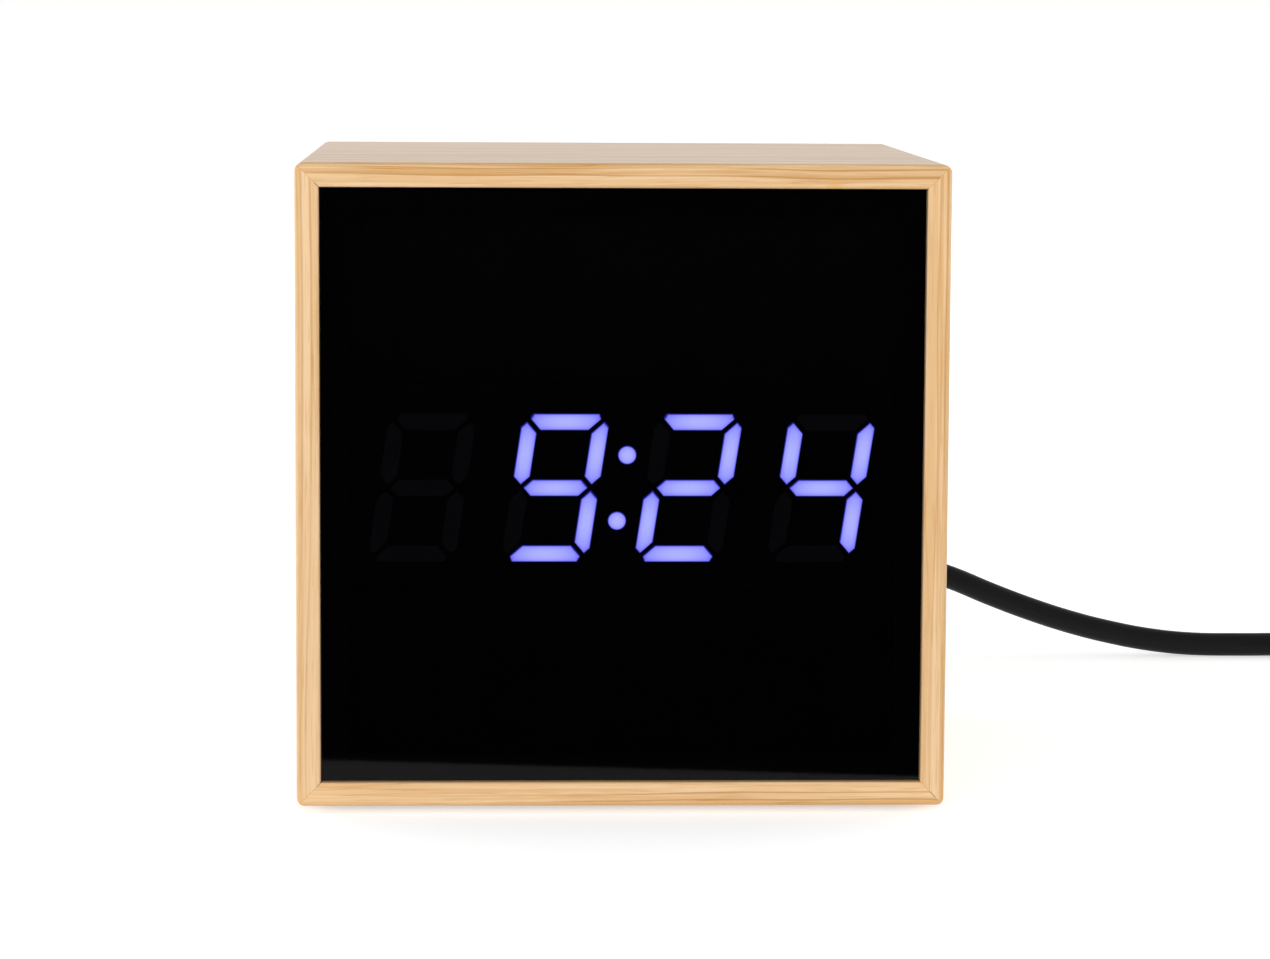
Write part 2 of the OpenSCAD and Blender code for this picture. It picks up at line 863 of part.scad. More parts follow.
// The mark on a button's face: a ring, a triangle up, a triangle down or a bar
module button_mark(i) {
    if (i == 0) {
        difference() {
            circle(d = mark_w);
            circle(d = mark_w - 2 * mark_line);
        }
    } else if (i == 3) {
        stadium(mark_w, mark_line);
    } else {
        rotate(i == 1 ? -90 : 90) circle(d = mark_w + mark_line, $fn = 3);
    }
}

// Button i of the row, its face eased, its flange behind the cover and its stem on the plunger
module button(i) {
    top = y_cover + button_out;
    color(black_plastic) facing(button_x[i], 0, z_mid + button_z) difference() {
        union() {
            translate([0, 0, y_plunger]) cylinder(d = stem_d, h = y_flange - y_plunger);
            translate([0, 0, y_flange - flange_t]) cylinder(d = button_d + 2 * flange_rim, h = flange_t);
            translate([0, 0, y_flange]) rotate_extrude() {
                square([button_d / 2, top - y_flange - edge_r]);
                square([button_d / 2 - edge_r, top - y_flange]);
                translate([button_d / 2 - edge_r, top - y_flange - edge_r]) circle(edge_r);
            }
        }
        translate([0, 0, top - mark_d]) linear_extrude(mark_d + 1) button_mark(i);
    }
}

module plunger(i) {
    color([0.75, 0.73, 0.68]) facing(button_x[i], y_switch - plunger_in, z_mid + button_z) {
        cylinder(d = plunger_d, h = plunger_in + plunger_out);
    }
}

module set_button() button(0);
module up_button() button(1);
module down_button() button(2);
module alarm_button() button(3);
module set_plunger() plunger(0);
module up_plunger() plunger(1);
module down_plunger() plunger(2);
module alarm_plunger() plunger(3);

module alarm_switch_body() {
    color([0.16, 0.16, 0.17]) facing(slide_x, y_control, z_mid + slide_z) difference() {
        linear_extrude(slide_body[1]) square([slide_body[0], slide_body[2]], center = true);
        translate([0, 0, slide_body[1] - slide_depth]) linear_extrude(slide_depth + 1) {
            square([slide_travel + knob_w + 2 * knob_gap, knob_h + 2 * knob_gap], center = true);
        }
    }
}

// Knob at the left end of its travel, with the plate that keeps dust out of the slot and a ribbed face
module alarm_switch_knob() {
    bottom = slide_body[1] - slide_depth + knob_gap;
    top = y_cover + knob_out - y_control;
    dust_top = standoff - knob_gap;
    dust_w = knob_w + 2 * slide_travel + 2 * knob_gap + 2 * dust_rim;
    color([0.80, 0.80, 0.82]) facing(slide_x - slide_travel / 2, y_control, z_mid + slide_z) difference() {
        union() {
            translate([0, 0, bottom]) linear_extrude(top - bottom) square([knob_w, knob_h], center = true);
            translate([0, 0, dust_top - dust_t]) linear_extrude(dust_t) {
                square([dust_w, knob_h + 2 * knob_gap + 2 * dust_rim], center = true);
            }
        }
        for (s = [-1, 0, 1]) translate([s * knob_w / 4, 0, top]) {
            cube([knob_groove, knob_h + 1, 2 * knob_groove], center = true);
        }
    }
}

module buzzer() {
    h = standoff - buzzer_gap;
    sound_hole = 1;
    color([0.09, 0.09, 0.10]) facing(buzzer_x, y_control, z_mid + buzzer_z) rotate_extrude() difference() {
        union() {
            square([buzzer_d / 2, h - edge_r]);
            square([buzzer_d / 2 - edge_r, h]);
            translate([buzzer_d / 2 - edge_r, h - edge_r]) circle(edge_r);
        }
        translate([0, h - sound_hole]) square(sound_hole);
    }
}

module cell_holder() {
    inner = cell_d / 2 + cell_gap;
    outer = inner + holder_wall;
    clip = clip_w + 2 * cell_gap;
    color([0.14, 0.14, 0.15]) facing(cell_x, 0, z_mid + cell_z) difference() {
        translate([0, 0, y_control]) cylinder(r = outer, h = holder_top - y_control);
        translate([0, 0, y_cell_floor]) cylinder(r = inner, h = standoff);
        translate([-clip / 2, -outer - 1, y_cell_floor]) cube([clip, outer + 1, standoff]);
    }
}

module coin_cell() {
    step = 0.4;
    color(steel) facing(cell_x, y_cell, z_mid + cell_z) rotate_extrude() {
        square([cell_d / 2 - 1, cell_t]);
        translate([0, step]) square([cell_d / 2, cell_t - step]);
    }
}

// Dimpled leaf under the cell and an upright clip beside its rim
module cell_contacts() {
    color([0.83, 0.72, 0.40]) facing(cell_x, y_cell_floor, z_mid + cell_z) {
        translate([-clip_w / 2, -cell_d / 4, 0]) cube([clip_w, cell_d / 2, contact_t]);
        cylinder(d = clip_w - 1, h = contact_h);
        translate([-clip_w / 2, -cell_d / 2 - cell_gap - contact_t, 0]) {
            cube([clip_w, contact_t, holder_top - y_cell_floor]);
        }
    }
}

// A ring sector from one angle to another, under half a turn
module sector(r0, r1, a0, a1) {
    far = 2 * r1;
    intersection() {
        difference() {
            circle(r1);
            circle(r0);
        }
        polygon([[0, 0], for (a = [a0, (a0 + a1) / 2, a1]) far * [cos(a), sin(a)]]);
    }
}

module battery_cap() {
    ledge_top = y_cover_in + cap_ledge + cap_gap;
    color(black_plastic) facing(cell_x, 0, z_mid + cell_z) difference() {
        union() {
            translate([0, 0, ledge_top]) cylinder(d = cap_d, h = y_cover - ledge_top);
            translate([0, 0, y_hub]) cylinder(d = hub_d, h = ledge_top - y_hub);
            for (a = lug_angles) translate([0, 0, y_hub]) linear_extrude(lug_t) {
                sector(hub_d / 2 - lug_t, hub_d / 2 + lug_out, a - lug_angle / 2, a + lug_angle / 2);
            }
        }
        translate([-coin_slot[0] / 2, -coin_slot[1] / 2, y_cover - coin_slot[2]]) {
            cube([coin_slot[0], coin_slot[1], coin_slot[2] + 1]);
        }
    }
}

module dc_socket() {
    color([0.08, 0.08, 0.09]) facing(socket_x, 0, z_socket) difference() {
        union() {
            translate([0, 0, y_control]) linear_extrude(standoff) square(socket_w, center = true);
            translate([0, 0, y_cover_in]) cylinder(d = collar_d, h = cover_t);
        }
        translate([0, 0, y_socket]) cylinder(d = socket_bore, h = standoff + cover_t);
    }
}

module dc_socket_pin() {
    pin_l = standoff - socket_floor + cover_t / 2;
    color(steel) facing(socket_x, y_socket, z_socket) cylinder(d = pin_d, h = pin_l);
}

// Cuts through the cover, each on its own piece's place and size
module cover_cuts() {
    for (x = button_x) translate([x, button_z]) circle(d = button_d + 2 * button_gap);
    translate([slide_x, slide_z]) {
        square([slide_travel + knob_w + 2 * knob_gap, knob_h + 2 * knob_gap], center = true);
    }
    for (i = [0:slots - 1]) {
        off = (i - (slots - 1) / 2) * slot_pitch;
        length = 2 * sqrt(pow(slot_field / 2, 2) - pow(off, 2));
        translate([buzzer_x + off, buzzer_z]) rotate(90) stadium(length, slot_w);
    }
    translate([socket_x, socket_z]) circle(d = collar_d + 2 * hole_gap);
    translate([cell_x, cell_z]) {
        circle(d = ledge_bore);
        for (a = lug_angles) {
            middle = a + cap_turn;
            half = lug_angle / 2 + lug_spare;
            sector(hub_d / 2 - lug_t, hub_d / 2 + lug_out + cap_gap, middle - half, middle + half);
        }
    }
}

module back_cover() {
    pilot = board_screw_d + 2 * thread_gap;
    color(black_plastic) difference() {
        union() {
            translate([0, 0, z_mid]) along_y(y_cover_in, y_cover) {
                square([open_w - 2 * cover_gap, open_h - 2 * cover_gap], center = true);
            }
            translate([0, 0, z_mid]) four(control_screw_x, control_screw_z) {
                facing(0, y_control, 0) cylinder(d = boss_d, h = standoff);
            }
        }
        translate([0, 0, z_mid]) along_y(y_cover_in - 1, y_cover + 1) cover_cuts();
        facing(cell_x, y_cover_in + cap_ledge, z_mid + cell_z) {
            cylinder(d = cap_d + 2 * cap_gap, h = cover_t);
        }
        translate([0, 0, z_mid]) four(control_screw_x, control_screw_z) {
            facing(0, y_control, 0) cylinder(d = pilot, h = board_screw_l - pcb_t + pilot_spare);
        }
        translate([0, 0, z_mid]) four(block_x, block_z) case_screw_hole(y_cover, cover_t, 1);
    }
}

module cover_screws() {
    color(steel) translate([0, 0, z_mid]) four(block_x, block_z) facing(0, y_cover, 0) case_screw();
}

// Ribbed, tapering sleeve along +Z that keeps a lead from kinking
module strain_relief(d0, d1, length, ribs) {
    pitch = length / (ribs + 1);
    groove = 0.4 * pitch;
    difference() {
        cylinder(d1 = d0, d2 = d1, h = length);
        for (i = [1:ribs]) translate([0, 0, i * pitch - groove / 2]) difference() {
            cylinder(d = d0 + 1, h = groove);
            translate([0, 0, -1]) cylinder(d = d1, h = groove + 2);
        }
    }
}

module plug_body() {
    root_d = plug_d - 2 * edge_r - relief_step;
    color(black_plastic) facing(socket_x, y_plug, z_socket) {
        rotate_extrude() {
            square([plug_d / 2 - edge_r, plug_l]);
            translate([0, edge_r]) square([plug_d / 2, plug_l - 2 * edge_r]);
            for (h = [edge_r, plug_l - edge_r]) translate([plug_d / 2 - edge_r, h]) circle(edge_r);
        }
        translate([0, 0, plug_l]) strain_relief(root_d, relief_d, relief_l, relief_ribs);
    }
}

module plug_sleeve() {
    start = y_socket + sleeve_spare;
    bore_l = y_plug - start - sleeve_end;
    color(steel) facing(socket_x, start, z_socket) difference() {
        cylinder(d = sleeve_d, h = y_plug - start);
        translate([0, 0, -1]) cylinder(d = sleeve_bore, h = bore_l + 1);
    }
}

// Direction of a route at point i, and the ring of points round it
function unit(v) = v / norm(v);
function heading(route, i) = let (last = len(route) - 1)
    unit(route[min(i + 1, last)] - route[max(i - 1, 0)]);
function ring(centre, ahead, r, sides) = let (
    side = unit(cross(ahead, [0, 0, 1])),
    up = cross(side, ahead)
) [for (k = [0:sides - 1]) centre + r * (cos(360 * k / sides) * side + sin(360 * k / sides) * up)];

// A closed tube along a route
module tube(route, d, sides) {
    n = len(route);
    points = [for (i = [0:n - 1]) each ring(route[i], heading(route, i), d / 2, sides)];
    walls = [for (i = [0:n - 2], k = [0:sides - 1]) let (
        a = i * sides + k,
        b = i * sides + (k + 1) % sides
    ) each [[a, a + sides, b], [b, a + sides, b + sides]]];
    start = [for (k = [1:sides - 2]) [0, k, k + 1]];
    end = [for (k = [1:sides - 2]) [(n - 1) * sides, (n - 1) * sides + k + 1, (n - 1) * sides + k]];
    polyhedron(points = points, faces = concat(walls, start, end));
}

// Radius and height of the coil after t turns: in on the lower layer, over, and out on the upper one
function ease(u) = u * u * (3 - 2 * u);
function turn_r(t) =
    t <= coil_in ? coil_r - coil_pitch * t :
    t < coil_in + coil_back ? let (u = t - coil_in) inner_r - coil_pitch * u * (1 - u / coil_back) :
    inner_r + coil_pitch * (t - coil_in - coil_back);
function turn_z(t) = coil_z + coil_pitch * ease(min(max((t - coil_in) / coil_back, 0), 1));
function turn_point(t) = let (a = coil_start - 360 * t)
    [coil_x + turn_r(t) * cos(a), coil_y + turn_r(t) * sin(a), turn_z(t)];
coil_steps = coil_total * loop_rings;
turn_points = [for (i = [0:coil_steps]) turn_point(i / loop_rings)];
coil_route = concat(
    [lead_route[len(lead_route) - 1]], turn_points, [coil_end]
);

// Least gap between one turn of the coil and another, and the length of the whole lead
turn_gap = min([for (i = [0:coil_steps], j = [i + loop_rings / 2:coil_steps])
    norm(turn_points[i] - turn_points[j])]) - cord_d;
function length_of(route, i = 0) =
    i >= len(route) - 1 ? 0 : norm(route[i + 1] - route[i]) + length_of(route, i + 1);
echo(least_gap_in_coil = turn_gap);
echo(length_of_lead = length_of(lead_route) + length_of(coil_route) + length_of(tail_route));

module cord_lead() {
    color(black_plastic) tube(lead_route, cord_d, lead_sides);
}

module cord_coil() {
    color(black_plastic) tube(coil_route, cord_d, coil_sides);
}

module cord_tail() {
    color(black_plastic) tube(tail_route, cord_d, lead_sides);
}

module strap_outline(w, h, r) {
    hull() for (sx = [-1, 1], sz = [-1, 1]) {
        translate([sx * (w / 2 - r), sz * (h / 2 - r)]) circle(r, $fn = 32);
    }
}

// Two straps drawn round the turns that pass them, standing on the table
module coil_ties() {
    slack = cord_d / 2 + tie_gap;
    top = coil_top_z + slack + tie_t;
    bend = tie_w * tie_w / (8 * coil_least_r);
    edge = tie_w / (4 * PI * coil_least_r);
    color(grey_plastic) translate([coil_x, coil_y, 0]) for (a = tie_angles) {
        first = (coil_start - a) / 360;
        passing = [for (t = [first - floor(first):coil_total], s = [-1, 1]) turn_r(t + s * edge)];
        near = min(passing) - bend - slack - tie_t;
        far = max(passing) + slack + tie_t;
        rotate(a) translate([(near + far) / 2, 0, top / 2]) along_y(-tie_w / 2, tie_w / 2) difference() {
            strap_outline(far - near, top, slack + tie_t);
            strap_outline(far - near - 2 * tie_t, top - 2 * tie_t, slack);
        }
    }
}

module usb_plug_body() {
    root_d = usb_h - relief_step;
    color(black_plastic) {
        translate([tail_end[0], 0, usb_z]) along_y(y_usb_front, y_usb) rounded(usb_w, usb_h, usb_r);
        facing(tail_end[0], y_usb, usb_z) strain_relief(root_d, relief_d, usb_relief_l, usb_relief_ribs);
    }
}

module usb_plug_shell() {
    color(steel) translate([tail_end[0], y_usb_front, usb_z]) difference() {
        along_y(-usb_shell[1], 0) difference() {
            square([usb_shell[0], usb_shell[2]], center = true);
            square([usb_shell[0] - 2 * usb_shell_t, usb_shell[2] - 2 * usb_shell_t], center = true);
        }
        for (s = [-1, 1]) translate([s * usb_window_x, -usb_window_y, 0]) {
            cube([usb_window, usb_window, usb_shell[2] + 1], center = true);
        }
    }
}

module usb_tongue() {
    drop = usb_shell[2] / 2 - usb_shell_t - usb_tongue_size[2] / 2;
    color([0.90, 0.90, 0.90]) translate([tail_end[0], 0, usb_z - drop]) {
        along_y(y_usb_front - usb_tongue_size[1], y_usb_front) {
            square([usb_tongue_size[0], usb_tongue_size[2]], center = true);
        }
    }
}

top_board();
bottom_board();
left_board();
right_board();
corner_blocks();
foot_pads();
front_lens();
lens_gasket();
display_frame();
frame_screws();
display_shell();
lit_segments();
unlit_segments();
colon_dots();
led_chips();
display_board();
display_screws();
clock_chip();
quartz_crystal();
smoothing_capacitor();
display_connector();
ribbon_cable();
control_connector();
control_board();
control_screws();
switch_bodies();
set_button();
up_button();
down_button();
alarm_button();
set_plunger();
up_plunger();
down_plunger();
alarm_plunger();
alarm_switch_body();
alarm_switch_knob();
buzzer();
cell_holder();
coin_cell();
cell_contacts();
battery_cap();
dc_socket();
dc_socket_pin();
back_cover();
cover_screws();
plug_body();
plug_sleeve();
cord_lead();
cord_coil();
cord_tail();
coil_ties();
usb_plug_body();
usb_plug_shell();
usb_tongue();
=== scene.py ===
import bpy
import bmesh
import math
from mathutils import Matrix, Vector


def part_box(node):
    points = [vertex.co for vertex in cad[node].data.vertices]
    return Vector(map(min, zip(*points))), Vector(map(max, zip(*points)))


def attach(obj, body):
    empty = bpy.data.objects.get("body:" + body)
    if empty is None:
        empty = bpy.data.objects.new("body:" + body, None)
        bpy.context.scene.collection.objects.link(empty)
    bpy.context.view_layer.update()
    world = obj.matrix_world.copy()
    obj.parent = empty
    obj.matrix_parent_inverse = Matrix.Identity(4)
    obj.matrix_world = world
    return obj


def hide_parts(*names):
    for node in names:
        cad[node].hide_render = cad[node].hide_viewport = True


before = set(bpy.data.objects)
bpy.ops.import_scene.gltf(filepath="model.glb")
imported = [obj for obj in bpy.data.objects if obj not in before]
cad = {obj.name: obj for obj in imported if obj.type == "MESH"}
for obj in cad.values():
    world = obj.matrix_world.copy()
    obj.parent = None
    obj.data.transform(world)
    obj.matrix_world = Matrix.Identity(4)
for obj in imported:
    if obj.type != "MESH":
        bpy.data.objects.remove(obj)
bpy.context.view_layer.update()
scene = bpy.context.scene
mm = 0.001
print("frame loaded:", len(cad), "CAD nodes")


def hexColor(code):  # sRGB hex to linear
    shares = [int(code[i:i + 2], 16) / 255 for i in (0, 2, 4)]
    return tuple(s / 12.92 if s <= 0.04045 else ((s + 0.055) / 1.055) ** 2.4 for s in shares) + (1.0,)


def addNode(tree, kind, inputs=None, **settings):  # inputs go by name or number, and take a value or a link
    made = tree.nodes.new("ShaderNode" + kind)
    for key, value in settings.items():
        setattr(made, key, value)
    feed(tree, made, inputs or {})
    return made.outputs


def feed(tree, node, inputs):
    for socket, value in inputs.items():
        if isinstance(value, bpy.types.NodeSocket):
            tree.links.new(value, node.inputs[socket])
        else:
            node.inputs[socket].default_value = value


def stretched(size, axis):  # pattern scale for a length along one axis and a width along the others, in mm
    return tuple(1 / (size[0 if a == axis else 1] * mm) for a in range(3))


def newMaterial(name, sockets):  # a principled surface with its constant values on its own sockets
    material = bpy.data.materials.new(name)
    material.use_nodes = True
    tree = material.node_tree
    shader = tree.nodes["Principled BSDF"]
    feed(tree, shader, sockets)
    return material, tree, shader


def addPiece(name, mesh, material, body):
    piece = bpy.data.objects.new(name, mesh)
    scene.collection.objects.link(piece)
    piece.data.materials.append(material)
    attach(piece, body)
    return piece


# Camera: a long lens a little above the clock and to its left
cameraSetup = {
    "place": (-20.5, -658.9, 122.3),  # mm
    "aim": (3.7, 0.0, 46.0),  # mm
    "roll": 0.31,  # degrees
    "lens": 113.7,  # mm on a 36 mm sensor
}


def makeCamera():
    place = Vector(cameraSetup["place"]) * mm
    toward = Vector(cameraSetup["aim"]) * mm - place
    data = bpy.data.cameras.new("camera")
    data.sensor_fit = "HORIZONTAL"
    data.sensor_width = 36
    data.lens = cameraSetup["lens"]
    camera = bpy.data.objects.new("camera", data)
    scene.collection.objects.link(camera)
    turn = toward.to_track_quat("-Z", "Y").to_matrix().to_4x4()
    roll = Matrix.Rotation(math.radians(cameraSetup["roll"]), 4, "Z")
    camera.matrix_world = Matrix.Translation(place) @ turn @ roll
    scene.camera = camera


makeCamera()
print("camera set")

# Cord: out of the plug, down to the table, along it to a two-layer coil, then the far plug
cordRun = {
    "diameter": 4.4,  # mm
    "lead": [  # mm
        (25, 72, 30), (25, 76.4, 30), (25.2, 81, 29.9), (26.5, 87, 29), (30, 93.5, 27.5),
        (35.5, 98.5, 25.5), (42.5, 102, 23.4), (50.5, 103.6, 20.8), (59.5, 104, 17.9),
        (68.5, 104, 15), (76.5, 104, 11.7), (84.5, 104, 8.7), (92, 104, 6.3),
        (99.5, 104, 4.4), (107.5, 104, 2.9), (115.5, 103.4, 2.2), (123.5, 102.6, 2.2),
        (131, 102.8, 2.2), (138.5, 103, 2.3), (146, 103, 2.8), (153, 103, 3.3), (159.6, 103, 3.3),
    ],
    "coilMiddle": (164, 71.5),  # mm
    "coilRadius": 31.5,  # mm, middle of the outermost turn
    "coilPitch": 5.0,  # mm, from turn to turn and from layer to layer
    "coilHeight": 3.3,  # mm, middle of the lower layer
    "turnsIn": 3.5,
    "turnsOver": 0.5,
    "turnsOut": 3.25,
    "pointsPerTurn": 24,
    "tailSteps": [(0, -4, 0), (0, -10, -0.6), (0, -17, -2), (0, -24, -3.5), (0, -31, -4.2)],  # mm
    "tailLength": 39.0,  # mm
    "tailHeight": 4.0,  # mm, middle of the far plug
}


def coilPoint(turn):  # in on the lower layer, over, and out on the upper one
    pitch = cordRun["coilPitch"]
    back = cordRun["turnsIn"] + cordRun["turnsOver"]
    inner = cordRun["coilRadius"] - pitch * cordRun["turnsIn"]
    over = min(max((turn - cordRun["turnsIn"]) / cordRun["turnsOver"], 0), 1)
    if turn <= cordRun["turnsIn"]:
        radius = cordRun["coilRadius"] - pitch * turn
    elif turn < back:
        radius = inner - pitch * (turn - cordRun["turnsIn"]) * (1 - over)
    else:
        radius = inner + pitch * (turn - back)
    angle = math.radians(90 - 360 * turn)
    x, y = cordRun["coilMiddle"]
    rise = pitch * over * over * (3 - 2 * over)
    return Vector((x + radius * math.cos(angle), y + radius * math.sin(angle), cordRun["coilHeight"] + rise))


def cordPoints():
    turns = cordRun["turnsIn"] + cordRun["turnsOver"] + cordRun["turnsOut"]
    count = round(turns * cordRun["pointsPerTurn"])
    coil = [coilPoint(i / cordRun["pointsPerTurn"]) for i in range(count + 1)]
    leave = coil[-1] - Vector((0, cordRun["diameter"], 0))
    end = Vector((leave.x, leave.y - cordRun["tailLength"], cordRun["tailHeight"]))
    tail = [leave] + [leave + Vector(step) for step in cordRun["tailSteps"]]
    tail += [end + Vector((0, cordRun["diameter"], 0)), end]
    return [Vector(p) for p in cordRun["lead"]] + coil + tail


def makeCord(material):
    points = [p * mm for p in cordPoints()]
    curve = bpy.data.curves.new("powerCord", "CURVE")
    curve.dimensions = "3D"
    curve.bevel_depth = cordRun["diameter"] * mm / 2
    curve.bevel_resolution = 5
    curve.resolution_u = 5
    curve.use_fill_caps = True
    spline = curve.splines.new("BEZIER")
    spline.bezier_points.add(len(points) - 1)
    for knot, point in zip(spline.bezier_points, points):
        knot.co = point
        knot.handle_left_type = "AUTO"
        knot.handle_right_type = "AUTO"
    cord = addPiece("powerCord", curve, material, "power_lead")
    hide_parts("cord_lead", "cord_coil", "cord_tail")


# Extruded PVC: a soft black skin, nearly matt, with a faint long sheen, a fine peel and a little wear
cordSkin = {
    "black": "0d0c0c", "worn": "141213", "rough": (0.42, 0.56),
    "patch": 9.0, "peel": 0.5, "peelDepth": 0.012,  # mm
}


def extrudedPvc():
    material, tree, shader = newMaterial("extrudedPvcBlack", {"IOR": 1.53, "Specular IOR Level": 0.16})
    place = addNode(tree, "TexCoord")["Object"]
    patch = addNode(tree, "TexNoise", {0: place, "Scale": 1 / (cordSkin["patch"] * mm), "Detail": 3})[0]
    peel = addNode(tree, "TexNoise", {0: place, "Scale": 1 / (cordSkin["peel"] * mm), "Detail": 2})[0]
    tone = {0: patch, 6: hexColor(cordSkin["black"]), 7: hexColor(cordSkin["worn"])}
    tone = addNode(tree, "Mix", tone, data_type="RGBA")[2]
    least, most = cordSkin["rough"]
    rough = addNode(tree, "MapRange", {0: patch, 3: least, 4: most})[0]
    bump = addNode(tree, "Bump", {"Height": peel, "Distance": cordSkin["peelDepth"] * mm})[0]
    feed(tree, shader, {"Base Color": tone, "Roughness": rough, "Normal": bump})
    return material


makeCord(extrudedPvc())
print("cord laid")

# Planed bamboo under satin lacquer: long pale fibres, darker lines where the plies meet, a soft sheen
bamboo = {
    "pale": "f0cc9f", "warm": "daa869", "fibre": "bf8844", "gold": "dda352", "glue": "b07c3a",
    "rough": (0.36, 0.46), "coat": 0.36, "coatRough": 0.24,
    "stripWidth": 16.0, "jointLine": 0.16,  # mm, strips glued side by side from the front to the back
    "stripTone": (0.94, 1.03),  # the darkest strip and the lightest
    "ply": 1.2, "outerPly": 0.75, "plyLine": 0.2, "plyWaver": 1.5,  # mm, the joints between three plies waver
    "waver": (55.0, 9.0), "flow": 2.2,  # mm along and across the grain, and how far its lines bend
    "band": (120.0, 1.1), "line": (80.0, 0.7), "pore": (7.0, 0.2),  # mm, the pores coarse enough to show
    "nodeSpan": 210.0, "nodeBand": 4.0,  # mm, from one growth ring to the next, and its width
    "rim": 0.45, "rimHalf": 0.35,  # mm, a golden band where a rounded edge cuts the outer skin: partly the skin's colour, partly painted shade along the rounding
    "face": 0.75, "inner": 0.7,  # shares of the figure that the broad face and the paler inner ply have
    "lineShare": 0.65, "plyShare": 0.65, "rimSkinAndShade": (0.05, 0.25),  # how strongly each mark is drawn
    "poreShare": 0.25, "ringShare": 0.4, "jointShare": 0.45,
    "depth": 0.035,  # mm, how deep the fibres are planed open
    "boardStep": (17.3, 5.1, 9.7), "stripStep": 40,  # moves the pattern from board to board, strip to strip
}
boards = {  # axis along the grain, axis through the board, end of its box with the outer face, tone, figure
    "top_board": (0, 2, 1, 0.91, 1.0), "bottom_board": (0, 2, 0, 1.01, 0.9),
    "left_board": (2, 0, 0, 0.96, 0.55), "right_board": (2, 0, 1, 1.01, 0.8),
}


